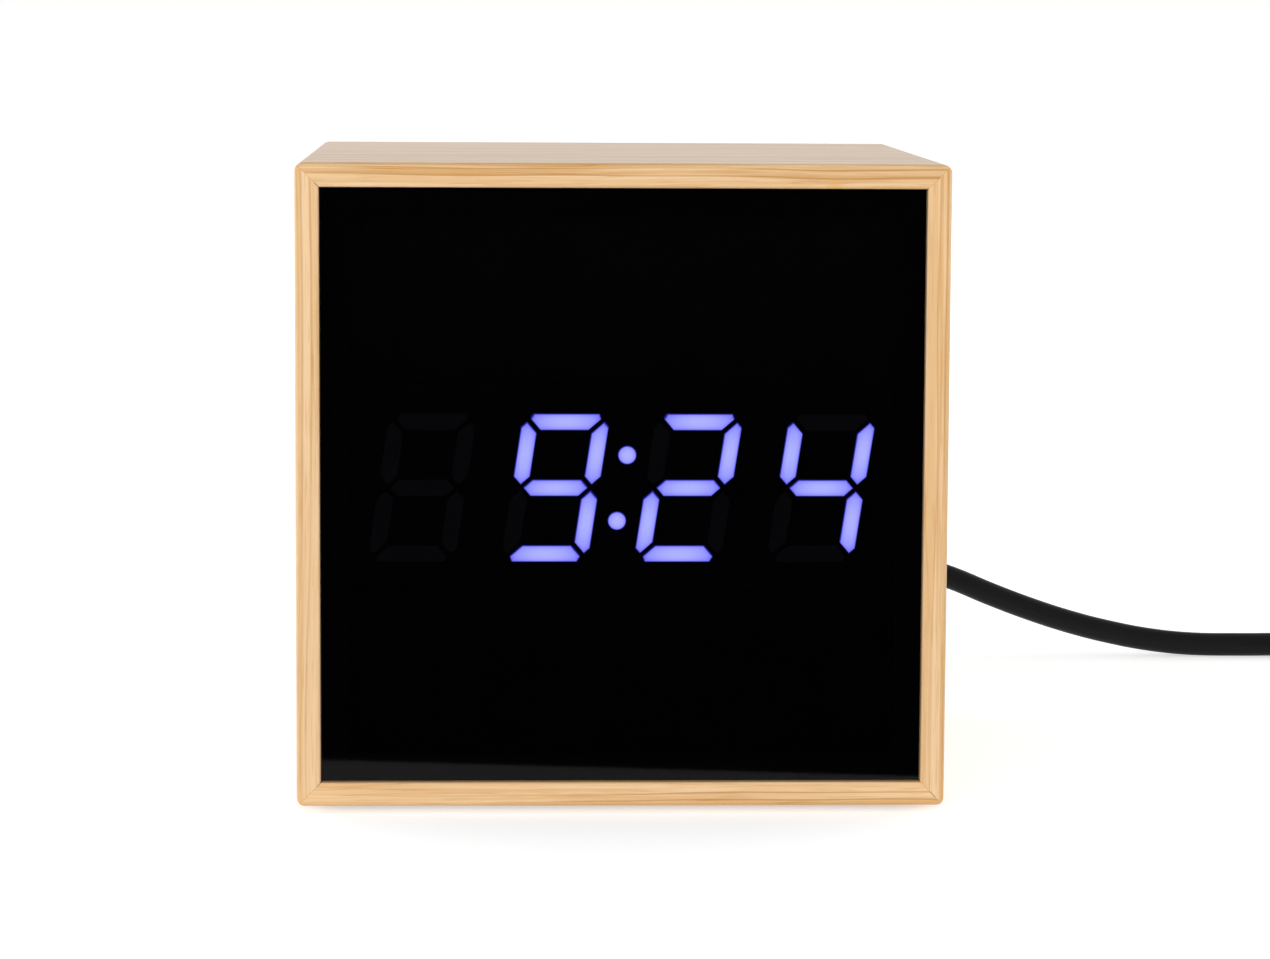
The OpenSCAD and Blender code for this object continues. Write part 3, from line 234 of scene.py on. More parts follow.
def lacqueredBamboo(board, seed):
    grain, through, end, tone, figure = boards[board]
    material, tree, shader = newMaterial("bambooLacquered_" + board, {
        "IOR": 1.5, "Coat Weight": bamboo["coat"], "Coat Roughness": bamboo["coatRough"],
    })
    place = addNode(tree, "TexCoord")["Object"]
    axes = addNode(tree, "SeparateXYZ", {0: place})

    # Strip and ply that a point lies in, each a piece of bamboo of its own
    across = addNode(tree, "Math", {0: axes[1], 1: bamboo["stripWidth"] * mm}, operation="DIVIDE")[0]
    strip = addNode(tree, "Math", {0: across}, operation="FLOOR")[0]
    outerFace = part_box(board)[end][through]
    depth = addNode(tree, "Math", {0: axes[through], 1: outerFace}, operation="SUBTRACT")[0]
    depth = addNode(tree, "Math", {0: depth}, operation="ABSOLUTE")[0]
    boardShift = tuple(step * seed for step in bamboo["boardStep"])
    moved = {0: place, 1: stretched(bamboo["waver"], grain), 2: boardShift}
    moved = addNode(tree, "VectorMath", moved, operation="MULTIPLY_ADD")[0]
    drift = addNode(tree, "TexNoise", {0: moved, "Scale": 1.0, "Detail": 1})["Color"]
    bend = tuple(0 if a == grain else bamboo["flow"] * mm for a in range(3))
    bent = addNode(tree, "VectorMath", {0: drift, 1: bend, 2: place}, operation="MULTIPLY_ADD")[0]
    drift = addNode(tree, "SeparateColor", {0: drift})
    sway = bamboo["plyWaver"] * mm
    waver = addNode(tree, "MapRange", {0: drift[0], 3: -sway, 4: sway})[0]
    inward = addNode(tree, "MapRange", {0: depth, 2: bamboo["outerPly"] * mm})[0]  # 0 on the broad face
    plies = addNode(tree, "Math", {0: waver, 1: inward, 2: depth}, operation="MULTIPLY_ADD")[0]
    plies = {0: plies, 1: 1 / (bamboo["ply"] * mm), 2: 1 - bamboo["outerPly"] / bamboo["ply"]}
    plies = addNode(tree, "Math", plies, operation="MULTIPLY_ADD")[0]
    plies = addNode(tree, "Clamp", {0: plies, 1: 0.3, 2: 2.7})[0]  # three plies, with no line on the faces
    ply = addNode(tree, "Math", {0: plies}, operation="FLOOR")[0]
    lot = addNode(tree, "CombineXYZ", {0: strip, 1: ply, 2: seed})[0]
    lot = addNode(tree, "TexWhiteNoise", {0: lot})
    shift = addNode(tree, "VectorMath", {0: lot["Color"], "Scale": bamboo["stripStep"]}, operation="SCALE")[0]

    # Tone, and the distance to each kind of mark
    noise = {}
    for name, detail in (("band", 3), ("line", 1), ("pore", 0)):
        moved = {0: bent, 1: stretched(bamboo[name], grain), 2: shift}
        moved = addNode(tree, "VectorMath", moved, operation="MULTIPLY_ADD")[0]
        fibres = {0: moved, "Scale": 1.0, "Detail": detail, "Roughness": 0.55}
        noise[name] = addNode(tree, "TexNoise", fibres)[0]
    toLine = addNode(tree, "Math", {0: noise["line"], 1: 0.5}, operation="PINGPONG")[0]
    toPly = addNode(tree, "Math", {0: plies, 1: 0.5}, operation="PINGPONG")[0]
    toJoint = addNode(tree, "Math", {0: across, 1: 0.5}, operation="PINGPONG")[0]
    toRim = addNode(tree, "Math", {0: depth, 1: bamboo["rim"] * mm}, operation="SUBTRACT")[0]
    toRim = addNode(tree, "Math", {0: toRim}, operation="ABSOLUTE")[0]
    along = {0: axes[grain], 1: 1 / (bamboo["nodeSpan"] * mm), 2: lot["Value"]}
    along = addNode(tree, "Math", along, operation="MULTIPLY_ADD")[0]
    toRing = addNode(tree, "Math", {0: along, 1: 0.5}, operation="PINGPONG")[0]

    # How strongly the figure shows in this ply and on this face, and each mark where the wood changes
    shown = {0: plies, 1: 1.8, 2: 2.2, 3: figure, 4: figure * bamboo["inner"]}  # fades into the third ply
    shown = addNode(tree, "MapRange", shown, interpolation_type="SMOOTHSTEP")[0]
    onEdge = addNode(tree, "MapRange", {0: depth, 2: bamboo["rim"] * mm, 3: bamboo["face"]})[0]
    shown = addNode(tree, "Math", {0: shown, 1: onEdge}, operation="MULTIPLY")[0]
    lineShare = addNode(tree, "MapRange", {0: noise["band"], 1: 0.4, 2: 0.58, 4: bamboo["lineShare"]})[0]
    lineShare = addNode(tree, "Math", {0: lineShare, 1: shown}, operation="MULTIPLY")[0]
    plyShare = addNode(tree, "MapRange", {0: drift[1], 1: 0.4, 2: 0.6, 4: bamboo["plyShare"] * figure})[0]
    rimLeast, rimMost = bamboo["rimSkinAndShade"]
    rimSkinAndShade = addNode(tree, "MapRange", {0: drift[2], 1: 0.38, 2: 0.58, 3: rimLeast, 4: rimMost})[0]

    # Colour from the pale ground to the marks, and the fibres that the plane has opened
    warm = addNode(tree, "MapRange", {0: noise["band"], 1: 0.34, 2: 0.64}, interpolation_type="SMOOTHSTEP")[0]
    warm = addNode(tree, "Math", {0: warm, 1: shown}, operation="MULTIPLY")[0]
    color = {0: warm, 6: hexColor(bamboo["pale"]), 7: hexColor(bamboo["warm"])}
    color = addNode(tree, "Mix", color, data_type="RGBA")[2]
    darkest, lightest = bamboo["stripTone"]
    lift = addNode(tree, "MapRange", {0: lot["Value"], 3: darkest * tone, 4: lightest * tone})[0]
    color = addNode(tree, "VectorMath", {0: color, "Scale": lift}, operation="SCALE")[0]
    opened = 0.0
    rimEdge = bamboo["rimHalf"] * mm
    plyEdge = bamboo["plyLine"] / bamboo["ply"]
    jointEdge = bamboo["jointLine"] / bamboo["stripWidth"]
    ringEdge = bamboo["nodeBand"] / bamboo["nodeSpan"] / 2
    for where, start, stop, first, last, shade in (  # a mark's share at its start and its stop, its colour
        # golden band by the rounded edge: partly the outer skin's colour, partly painted shade along the
        # rounding
        (toRim, 0.3 * rimEdge, rimEdge, rimSkinAndShade, 0.0, "gold"),
        (toLine, 0.47, 0.5, 0.0, lineShare, "fibre"),
        (noise["pore"], 0.6, 0.72, 0.0, bamboo["poreShare"], "fibre"),
        (toRing, 0.05 * ringEdge, ringEdge, bamboo["ringShare"], 0.0, "gold"),
        (toPly, 0.3 * plyEdge, plyEdge, plyShare, 0.0, "glue"),
        (toJoint, 0.2 * jointEdge, jointEdge, bamboo["jointShare"], 0.0, "glue"),
    ):
        share = {0: where, 1: start, 2: stop, 3: first, 4: last}
        share = addNode(tree, "MapRange", share, interpolation_type="SMOOTHSTEP")[0]
        color = addNode(tree, "Mix", {0: share, 6: color, 7: hexColor(bamboo[shade])}, data_type="RGBA")[2]
        if shade == "fibre":
            opened = addNode(tree, "Math", {0: opened, 1: share}, operation="ADD")[0]
    least, most = bamboo["rough"]
    rough = addNode(tree, "MapRange", {0: noise["band"], 1: 0.3, 2: 0.7, 3: least, 4: most})[0]
    bump = {"Height": opened, "Distance": bamboo["depth"] * mm, "Strength": 0.7}
    bump = addNode(tree, "Bump", bump, invert=True)[0]
    feed(tree, shader, {"Base Color": color, "Roughness": rough, "Normal": bump})
    return material


# Cast acrylic, smoked nearly black and polished: it mirrors faintly, and the lit digits shine through it
lens = {
    "smoke": "303034", "rough": 0.06,
    "ior": 1.23,  # under acrylic's 1.49, to match how faintly the panel mirrors
    "wave": 26.0, "waveDepth": 0.003,  # mm
}


def smokedAcrylic():
    material, tree, shader = newMaterial("acrylicSmokedPolished", {
        "Base Color": hexColor(lens["smoke"]), "Transmission Weight": 1.0, "IOR": lens["ior"],
        "Roughness": lens["rough"],
    })
    place = addNode(tree, "TexCoord")["Object"]
    wave = addNode(tree, "TexNoise", {0: place, "Scale": 1 / (lens["wave"] * mm), "Detail": 1})[0]
    bump = addNode(tree, "Bump", {"Height": wave, "Distance": lens["waveDepth"] * mm, "Strength": 0.5})[0]
    feed(tree, shader, {"Normal": bump})
    return material


# Moulded plastics and rubbers: the tool's spark-eroded skin leaves a fine even grain that breaks the gloss
plastics = {  # colour, roughness, grain in mm (drawn coarse enough to show), specular level, nodes
    "absMouldedBlack": ("18181a", 0.48, 0.4, 0.2, ("back_cover", "battery_cap")),
    # painted shade: the black frame and shell behind the lens are drawn darker than the black back cover, for
    # the light that the smoked lens would hold back
    "absMouldedInnerPaintedShade": ("0c0c0d", 0.6, 0.4, 0.2, ("display_frame", "display_shell")),
    "foamDieCutBlack": ("101011", 0.85, 0.6, 0.2, ("lens_gasket",)),
    "foamDieCutGrey": ("2a2a2c", 0.85, 0.6, 0.2, ("foot_pads",)),
    # painted shade: the milky unlit segments are drawn dark grey, for the light that the smoked lens would
    # hold back, since the lens casts no shadow
    "epoxyMilkyPaintedShade": ("4b4a4f", 0.4, 0.8, 0.3, ("unlit_segments",)),
    "epoxyMouldedChip": ("19191b", 0.5, 0.15, 0.4, ("clock_chip",)),
    "pvcShrunkSleeve": ("1d2650", 0.35, 0.8, 0.5, ("smoothing_capacitor",)),
    "nylonMouldedConnector": ("e4dfcf", 0.45, 0.3, 0.5, ("display_connector", "control_connector")),
    "pbtMouldedSwitch": (
        "222226", 0.5, 0.3, 0.4, ("switch_bodies", "alarm_switch_body", "cell_holder", "dc_socket"),
    ),
    "pbtMouldedBuzzer": ("17171a", 0.4, 0.3, 0.4, ("buzzer",)),
    "pomMouldedPlunger": (
        "b9b7b0", 0.4, 0.3, 0.5, ("set_plunger", "up_plunger", "down_plunger", "alarm_plunger"),
    ),
    "pomMouldedKnob": ("c4c4c8", 0.42, 0.3, 0.4, ("alarm_switch_knob",)),
    "pvcOverMoulded": ("1b1b1c", 0.5, 0.5, 0.25, ("plug_body", "usb_plug_body")),
    "siliconeMouldedStrap": ("242426", 0.55, 0.5, 0.25, ("coil_ties",)),
    "pbtMouldedTongue": ("dcdcd8", 0.4, 0.3, 0.5, ("usb_tongue",)),
    "phosphorCastYellow": ("d8cd86", 0.5, 0.2, 0.4, ("led_chips",)),
}
mouldSkin = {
    "patch": 18.0,  # mm, slow changes of tone and gloss
    "lighter": 1.25, "lift": 0.001, "roughSpread": 0.05,
    "grainDepth": 0.1,  # share of the grain's width
}


def mouldedPlastic(name, color, rough, grain, level):
    material, tree, shader = newMaterial(name, {"IOR": 1.54, "Specular IOR Level": level})
    place = addNode(tree, "TexCoord")["Object"]
    fine = addNode(tree, "TexNoise", {0: place, "Scale": 1 / (grain * mm), "Detail": 2})[0]
    broad = addNode(tree, "TexNoise", {0: place, "Scale": 1 / (mouldSkin["patch"] * mm), "Detail": 3})[0]
    base = hexColor(color)
    lighter = tuple(min(1.0, c * mouldSkin["lighter"] + mouldSkin["lift"]) for c in base[:3]) + (1.0,)
    tone = addNode(tree, "Mix", {0: broad, 6: base, 7: lighter}, data_type="RGBA")[2]
    spread = mouldSkin["roughSpread"]
    gloss = addNode(tree, "MapRange", {0: broad, 3: rough - spread, 4: rough + spread})[0]
    bump = {"Height": fine, "Distance": mouldSkin["grainDepth"] * grain * mm, "Strength": 0.6}
    bump = addNode(tree, "Bump", bump)[0]
    feed(tree, shader, {"Base Color": tone, "Roughness": gloss, "Normal": bump})
    return material, tree, shader, tone


# Plated, drawn and stamped metals: bright, with faint drawing lines along one axis
metals = {  # colour, roughness, line spacing in mm, axis of the lines, nodes
    "steelZincPlated": ("c6c8cc", 0.34, 0.25, 0, ("display_screws", "control_screws")),
    "steelBlackZinc": ("3c3c40", 0.36, 0.25, 0, ("cover_screws", "frame_screws")),
    "steelNickelPlated": (
        "cfcfd0", 0.25, 0.2, 1, ("usb_plug_shell", "plug_sleeve", "dc_socket_pin", "quartz_crystal"),
    ),
    "steelStainlessPressed": ("c9c9c6", 0.3, 0.3, 0, ("coin_cell",)),
    "brassStamped": ("cfa75a", 0.3, 0.3, 2, ("cell_contacts",)),
}
drawing = {"length": 12.0, "depth": 0.004, "darker": 0.8, "roughSpread": 0.08}  # mm


def drawnMetal(name, color, rough, line, axis):
    material, tree, shader = newMaterial(name, {"Metallic": 1.0})
    place = addNode(tree, "TexCoord")["Object"]
    scale = stretched((drawing["length"], line), axis)
    scaled = addNode(tree, "VectorMath", {0: place, 1: scale}, operation="MULTIPLY")[0]
    lines = addNode(tree, "TexNoise", {0: scaled, "Scale": 1.0, "Detail": 2})[0]
    base = hexColor(color)
    darker = tuple(drawing["darker"] * c for c in base[:3]) + (1.0,)
    tone = addNode(tree, "Mix", {0: lines, 6: base, 7: darker}, data_type="RGBA")[2]
    spread = drawing["roughSpread"]
    gloss = addNode(tree, "MapRange", {0: lines, 3: rough - spread, 4: rough + spread})[0]
    bump = addNode(tree, "Bump", {"Height": lines, "Distance": drawing["depth"] * mm, "Strength": 0.5})[0]
    feed(tree, shader, {"Base Color": tone, "Roughness": gloss, "Normal": bump})
    return material


# Moulded ABS button, its engraved mark filled with white paint: a crisp pale shape on matt black
buttonPaint = {
    "plastic": "1c1c1e", "rough": 0.42, "level": 0.25, "white": "d9d9d4",
    "grain": 0.35, "engraved": 0.3, "paintDepth": 0.12, "reach": 2.6,  # mm
}


def paintedButton(node):
    finish = [buttonPaint[key] for key in ("plastic", "rough", "grain", "level")]
    material, tree, shader, tone = mouldedPlastic("absMouldedPainted_" + node, *finish)
    low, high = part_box(node)
    middle = ((low[0] + high[0]) / 2, high[1] - buttonPaint["engraved"] * mm, (low[2] + high[2]) / 2)
    place = addNode(tree, "TexCoord")["Object"]
    off = addNode(tree, "VectorMath", {0: place, 1: middle}, operation="SUBTRACT")[0]
    axes = addNode(tree, "SeparateXYZ", {0: off})
    level = {0: axes[1], 1: 0.0, 2: buttonPaint["paintDepth"] * mm}
    level = addNode(tree, "Math", level, operation="COMPARE")[0]
    flat = addNode(tree, "CombineXYZ", {0: axes[0], 2: axes[2]})[0]
    reach = addNode(tree, "VectorMath", {0: flat}, operation="LENGTH")[1]
    near = addNode(tree, "Math", {0: reach, 1: buttonPaint["reach"] * mm}, operation="LESS_THAN")[0]
    mark = addNode(tree, "Math", {0: level, 1: near}, operation="MULTIPLY")[0]
    painted = {0: mark, 6: tone, 7: hexColor(buttonPaint["white"])}
    feed(tree, shader, {"Base Color": addNode(tree, "Mix", painted, data_type="RGBA")[2]})
    return material


# Etched glass-fibre board under green solder mask: the tracks show a little lighter and stand a little proud
circuit = {
    "mask": "1d5638", "track": "2f7d52",
    "spacing": 2.6, "rise": 0.035,  # mm
    "trackHalf": (0.05, 0.08),  # shares of the spacing, to the flat and to the foot of a track
}


def etchedBoard():
    material, tree, shader = newMaterial("glassFibreEtchedMasked", {"IOR": 1.5, "Roughness": 0.32})
    place = addNode(tree, "TexCoord")["Object"]
    cells = {0: place, "Scale": 1 / (circuit["spacing"] * mm)}
    cells = addNode(tree, "TexVoronoi", cells, feature="DISTANCE_TO_EDGE")[0]
    flat, foot = circuit["trackHalf"]
    track = addNode(tree, "MapRange", {0: cells, 1: flat, 2: foot, 3: 1.0, 4: 0.0})[0]
    tone = {0: track, 6: hexColor(circuit["mask"]), 7: hexColor(circuit["track"])}
    tone = addNode(tree, "Mix", tone, data_type="RGBA")[2]
    bump = addNode(tree, "Bump", {"Height": track, "Distance": circuit["rise"] * mm, "Strength": 0.6})[0]
    feed(tree, shader, {"Base Color": tone, "Normal": bump})
    return material


# Extruded PVC ribbon: grey, ridged over each conductor, with painted shade darkening the grooves between
ribbon = {"grey": "8f9194", "groove": "6f7174", "pitch": 1.27, "ridge": 0.25}  # mm


def ribbonPvc():
    material, tree, shader = newMaterial("pvcExtrudedRibbon", {"IOR": 1.53, "Roughness": 0.45})
    place = addNode(tree, "TexCoord")["Object"]
    across = addNode(tree, "SeparateXYZ", {0: place})[0]
    half = ribbon["pitch"] * mm / 2
    ridge = addNode(tree, "Math", {0: across, 1: half}, operation="PINGPONG")[0]
    ridge = addNode(tree, "MapRange", {0: ridge, 2: half}, interpolation_type="SMOOTHSTEP")[0]
    # painted shade: the grooves between the ridges are drawn darker grey
    tone = {0: ridge, 6: hexColor(ribbon["groove"]), 7: hexColor(ribbon["grey"])}
    tone = addNode(tree, "Mix", tone, data_type="RGBA")[2]
    bump = addNode(tree, "Bump", {"Height": ridge, "Distance": ribbon["ridge"] * mm})[0]
    feed(tree, shader, {"Base Color": tone, "Normal": bump})
    return material


# Sawn poplar glue blocks: pale, with open grain along the block
poplar = {"pale": "d9c6a0", "dark": "bfa77c", "grain": (40.0, 1.4), "depth": 0.05}  # mm


def sawnPoplar():
    material, tree, shader = newMaterial("poplarSawn", {"IOR": 1.5, "Roughness": 0.7})
    place = addNode(tree, "TexCoord")["Object"]
    scaled = {0: place, 1: stretched(poplar["grain"], 1)}
    scaled = addNode(tree, "VectorMath", scaled, operation="MULTIPLY")[0]
    grain = addNode(tree, "TexNoise", {0: scaled, "Scale": 1.0, "Detail": 3})[0]
    tone = {0: grain, 6: hexColor(poplar["pale"]), 7: hexColor(poplar["dark"])}
    tone = addNode(tree, "Mix", tone, data_type="RGBA")[2]
    bump = addNode(tree, "Bump", {"Height": grain, "Distance": poplar["depth"] * mm})[0]
    feed(tree, shader, {"Base Color": tone, "Normal": bump})
    return material


def dress(material, *names):
    for name in names:
        cad[name].data.materials.clear()
        cad[name].data.materials.append(material)


easing = {"coil_ties": 0.25, "usb_plug_body": 0.6}  # mm, a small round on the sharp edges


def easeEdges(name):
    weld = cad[name].modifiers.new("weld", "WELD")
    weld.merge_threshold = 0.0005 * mm
    bevel = cad[name].modifiers.new("ease", "BEVEL")
    bevel.width = easing[name] * mm
    bevel.segments = 3
    bevel.limit_method = "ANGLE"
    bevel.angle_limit = math.radians(40)
    bevel.use_clamp_overlap = True
    cad[name].modifiers.new("even", "WEIGHTED_NORMAL")


for seed, board in enumerate(boards, 1):
    dress(lacqueredBamboo(board, seed), board)
dress(smokedAcrylic(), "front_lens")
cad["front_lens"].visible_shadow = False
for name, (color, rough, grain, level, nodes) in plastics.items():
    dress(mouldedPlastic(name, color, rough, grain, level)[0], *nodes)
for name, (color, rough, line, axis, nodes) in metals.items():
    dress(drawnMetal(name, color, rough, line, axis), *nodes)
for node in ("set_button", "up_button", "down_button", "alarm_button"):
    dress(paintedButton(node), node)
dress(etchedBoard(), "display_board", "control_board")
dress(ribbonPvc(), "ribbon_cable")
dress(sawnPoplar(), "corner_blocks")
for node in easing:
    easeEdges(node)
print("CAD pieces dressed")

# Lit digits: clear epoxy over blue-white diodes, brightest over each diode and bluer towards the ends
digitGlow = {
    "core": "aeb1ff", "rim": "8080f5", "edge": "1c1c78", "epoxy": "5c5c8c", "strength": 35.0,
    "step": 0.35,  # mm along an outline
    "ease": 0.06,  # mm, round on the front edge
    "insets": (0.14, 0.35, 0.6, 0.85),  # shares of the way to the middle line
    "edgeGlow": (0.0, 0.0, 0.0, 0.62, 0.84, 0.96, 1.0),  # from the back outline to the innermost one
    "alongFall": 0.5,  # share of the glow that the ends lose
}


def frontOutlines(node):  # the front outline of each solid in a node, in order round its middle
    shape = bmesh.new()
    shape.from_mesh(cad[node].data)
    bmesh.ops.remove_doubles(shape, verts=shape.verts, dist=0.001 * mm)
    shape.verts.index_update()
    front = min(v.co.y for v in shape.verts)
    seen = set()
    outlines = []
    for start in shape.verts:
        if start.index in seen:
            continue
        seen.add(start.index)
        island, todo = [], [start]
        while todo:
            vert = todo.pop()
            island.append(vert)
            for other in (edge.other_vert(vert) for edge in vert.link_edges):
                if other.index not in seen:
                    seen.add(other.index)
                    todo.append(other)
        rim = [v.co.copy() for v in island if v.co.y - front < 0.01 * mm]
        middle = sum(rim, Vector()) / len(rim)
        rim.sort(key=lambda p: math.atan2(p.z - middle.z, p.x - middle.x))
        outlines.append(rim)
    shape.free()
    return outlines


def evenSteps(rim):
    points = []
    for a, b in zip(rim, rim[1:] + rim[:1]):
        count = max(1, round((b - a).length / (digitGlow["step"] * mm)))
        points += [a.lerp(b, i / count) for i in range(count)]
    return points


def litSegment(shape, layer, rim, back):  # one solid of the lit digits, with its glow on its points
    rim = evenSteps(rim)
    middle = sum(rim, Vector()) / len(rim)
    flat = [(p.x - middle.x, p.z - middle.z) for p in rim]
    xx = sum(x * x for x, z in flat)
    zz = sum(z * z for x, z in flat)
    xz = sum(x * z for x, z in flat)
    turn = 0.5 * math.atan2(2 * xz, xx - zz)  # the way that the segment runs
    way = Vector((math.cos(turn), 0, math.sin(turn)))
    side = Vector((-way.z, 0, way.x))
    halfLength = max(abs((p - middle).dot(way)) for p in rim)
    halfWidth = max(abs((p - middle).dot(side)) for p in rim)
    reach = max(halfLength - halfWidth, 0.0)
    ease = digitGlow["ease"] * mm
    levels = [(0.0, back), (0.0, rim[0].y + ease), (ease / halfWidth, rim[0].y)]
    levels += [(inset, rim[0].y) for inset in digitGlow["insets"]]
    rings = []
    for (inset, level), edgeGlow in zip(levels, digitGlow["edgeGlow"]):
        ring = []
        for p in rim:
            spine = middle + way * min(max((p - middle).dot(way), -reach), reach)
            point = p.lerp(spine, inset)
            vert = shape.verts.new((point.x, level, point.z))
            along = (point - middle).dot(way) / halfLength if reach > halfWidth else 0.0
            vert[layer] = edgeGlow * (1 - digitGlow["alongFall"] * along * along)
            ring.append(vert)
        rings.append(ring)
    count = len(rim)
    for near, far in zip(rings, rings[1:]):
        for i in range(count):
            shape.faces.new((near[i], near[(i + 1) % count], far[(i + 1) % count], far[i]))
    inside = shape.faces.new(rings[-1])
    bmesh.ops.triangulate(shape, faces=[inside], ngon_method="BEAUTY")  # keeps the glow even along the middle
    shape.faces.new(rings[0][::-1])


def litEpoxy():
    material, tree, shader = newMaterial("epoxyCastLit", {
        "Base Color": hexColor(digitGlow["epoxy"]), "Roughness": 0.4,
        "Emission Strength": digitGlow["strength"],
    })
    amount = addNode(tree, "Attribute", attribute_name="glow")["Fac"]
    tone = hexColor(digitGlow["edge"])
    for low, high, shade in ((0.0, 0.5, "rim"), (0.5, 1.0, "core")):
        share = addNode(tree, "MapRange", {0: amount, 1: low, 2: high})[0]
        tone = addNode(tree, "Mix", {0: share, 6: tone, 7: hexColor(digitGlow[shade])}, data_type="RGBA")[2]
    feed(tree, shader, {"Emission Color": tone})
    return material


def makeLitDigits():
    shape = bmesh.new()
    layer = shape.verts.layers.float.new("glow")
    for node in ("lit_segments", "colon_dots"):
        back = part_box(node)[1][1]
        for rim in frontOutlines(node):
            litSegment(shape, layer, rim, back)
    bmesh.ops.recalc_face_normals(shape, faces=shape.faces)
    mesh = bpy.data.meshes.new("litDigits")
    shape.to_mesh(mesh)
    shape.free()
    piece = addPiece("litDigits", mesh, litEpoxy(), "clock")
    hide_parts("lit_segments", "colon_dots")
    piece.visible_diffuse = False  # the lens dims the light that leaves, so none of it reaches the table
    piece.visible_glossy = False


makeLitDigits()
print("digits lit")

# Set wood glue in the four mitres: honey coloured, with short dark streaks of painted shade where the joint
# isn't quite closed
mitreGlue = {
    "honey": "d9ad6e", "dark": "6b4820",
    "shadeStreak": (14.0, 1.5),  # mm, along a joint and across its end
    "shadeStreakFrom": (0.56, 0.64),  # noise levels between which painted shade darkens the glue
    "thickness": 0.09, "sunk": 0.015,  # mm
    "wall": 3.75, "rim": 0.8, "innerRim": 0.4, "half": 50.0,  # mm, as on the boards
    "across": (0.47, 0.56, 0.66, 0.8, 1.6, 2.6, 3.35, 3.48, 3.58, 3.66),  # mm in from the outer faces
}


def gluedLine():
    material, tree, shader = newMaterial("woodGlueSet", {"IOR": 1.48, "Roughness": 0.5})
    place = addNode(tree, "TexCoord")["Object"]
    scaled = {0: place, 1: stretched(mitreGlue["shadeStreak"], 1)}
    scaled = addNode(tree, "VectorMath", scaled, operation="MULTIPLY")[0]
    shadeStreak = addNode(tree, "TexNoise", {0: scaled, "Scale": 1.0, "Detail": 1})[0]
    start, stop = mitreGlue["shadeStreakFrom"]
    shadeStreak = addNode(tree, "MapRange", {0: shadeStreak, 1: start, 2: stop})[0]
    # painted shade: the honey glue turns dark in short streaks, for a joint not quite closed
    tone = {0: shadeStreak, 6: hexColor(mitreGlue["honey"]), 7: hexColor(mitreGlue["dark"])}
    feed(tree, shader, {"Base Color": addNode(tree, "Mix", tone, data_type="RGBA")[2]})
    return material


def easedBack(w):  # how far back the eased front of the boards lies, w in from the outer face
    rim, innerRim = mitreGlue["rim"], mitreGlue["innerRim"]
    for radius, gap in ((rim, rim - w), (innerRim, w - mitreGlue["wall"] + innerRim)):
        if gap > 0:
            return radius - math.sqrt(radius ** 2 - gap ** 2)
    return 0.0


def makeMitreGlue():
    half = mitreGlue["half"]
    off = mitreGlue["thickness"] / 2 / math.sqrt(2)
    top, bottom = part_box("top_board")[1][2] / mm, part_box("bottom_board")[0][2] / mm
    shape = bmesh.new()
    outline = [(w, -half + easedBack(w) + mitreGlue["sunk"]) for w in mitreGlue["across"]]
    outline += [(w, -y) for w, y in reversed(outline)]
    count = len(outline)
    for sx, sz, edge in ((-1, -1, bottom), (-1, 1, top), (1, -1, bottom), (1, 1, top)):
        sides = []
        for way in (-off, off):
            places = [(sx * (half - w + way), y, edge - sz * (w + way)) for w, y in outline]
            sides.append([shape.verts.new(Vector(place) * mm) for place in places])
        for i in range(count):
            shape.faces.new((sides[0][i], sides[0][(i + 1) % count], sides[1][(i + 1) % count], sides[1][i]))
        shape.faces.new(sides[0])
        shape.faces.new(sides[1][::-1])
    bmesh.ops.recalc_face_normals(shape, faces=shape.faces)
    mesh = bpy.data.meshes.new("mitreGlue")
    shape.to_mesh(mesh)
    shape.free()
    addPiece("mitreGlue", mesh, gluedLine(), "clock")


makeMitreGlue()
print("mitres glued")

# Stage: a pale floor, a white surround, three low soft lamps, a black card that the polished panel mirrors
stageSetup = {
    "floor": "f4f4f4", "floorSize": 12.0,  # m
    "lift": (0.5, 0.7), "liftReach": (0.2, 1.6),  # the floor whitens away from the clock, reach in m
    "fill": 0.41,  # the surround's light on the object
    "ceiling": 0.5, "ceilingFrom": (0.25, 0.8),  # the white overhead, and the rise over which it fades
}
lamps = {  # degrees round from the front, level on a card that faces the lamp (1 is white)
    "front": (-12.0, 0.75), "left": (-125.0, 0.42), "right": (125.0, 0.42),
}
lampSetup = {"distance": 1.7, "height": 0.45, "width": 1.7, "tall": 0.56, "aim": (0, 0, 0.05)}  # m
darkCard = {  # m, its near edge runs a little askew
    "near": ((-0.046, -0.0894), (0.046, -0.0752)), "end": -0.9, "half": 1.2, "low": 0.0005, "tall": 0.2,
    "color": "060606",
}


def whiteShown(tree):  # 1 where the background itself is seen, mirrored or looked through to
    seen = addNode(tree, "LightPath")
    shown = {0: seen["Is Camera Ray"], 1: seen["Is Glossy Ray"]}
    shown = addNode(tree, "Math", shown, operation="MAXIMUM")[0]
    return addNode(tree, "Math", {0: shown, 1: seen["Is Transmission Ray"]}, operation="MAXIMUM")[0]


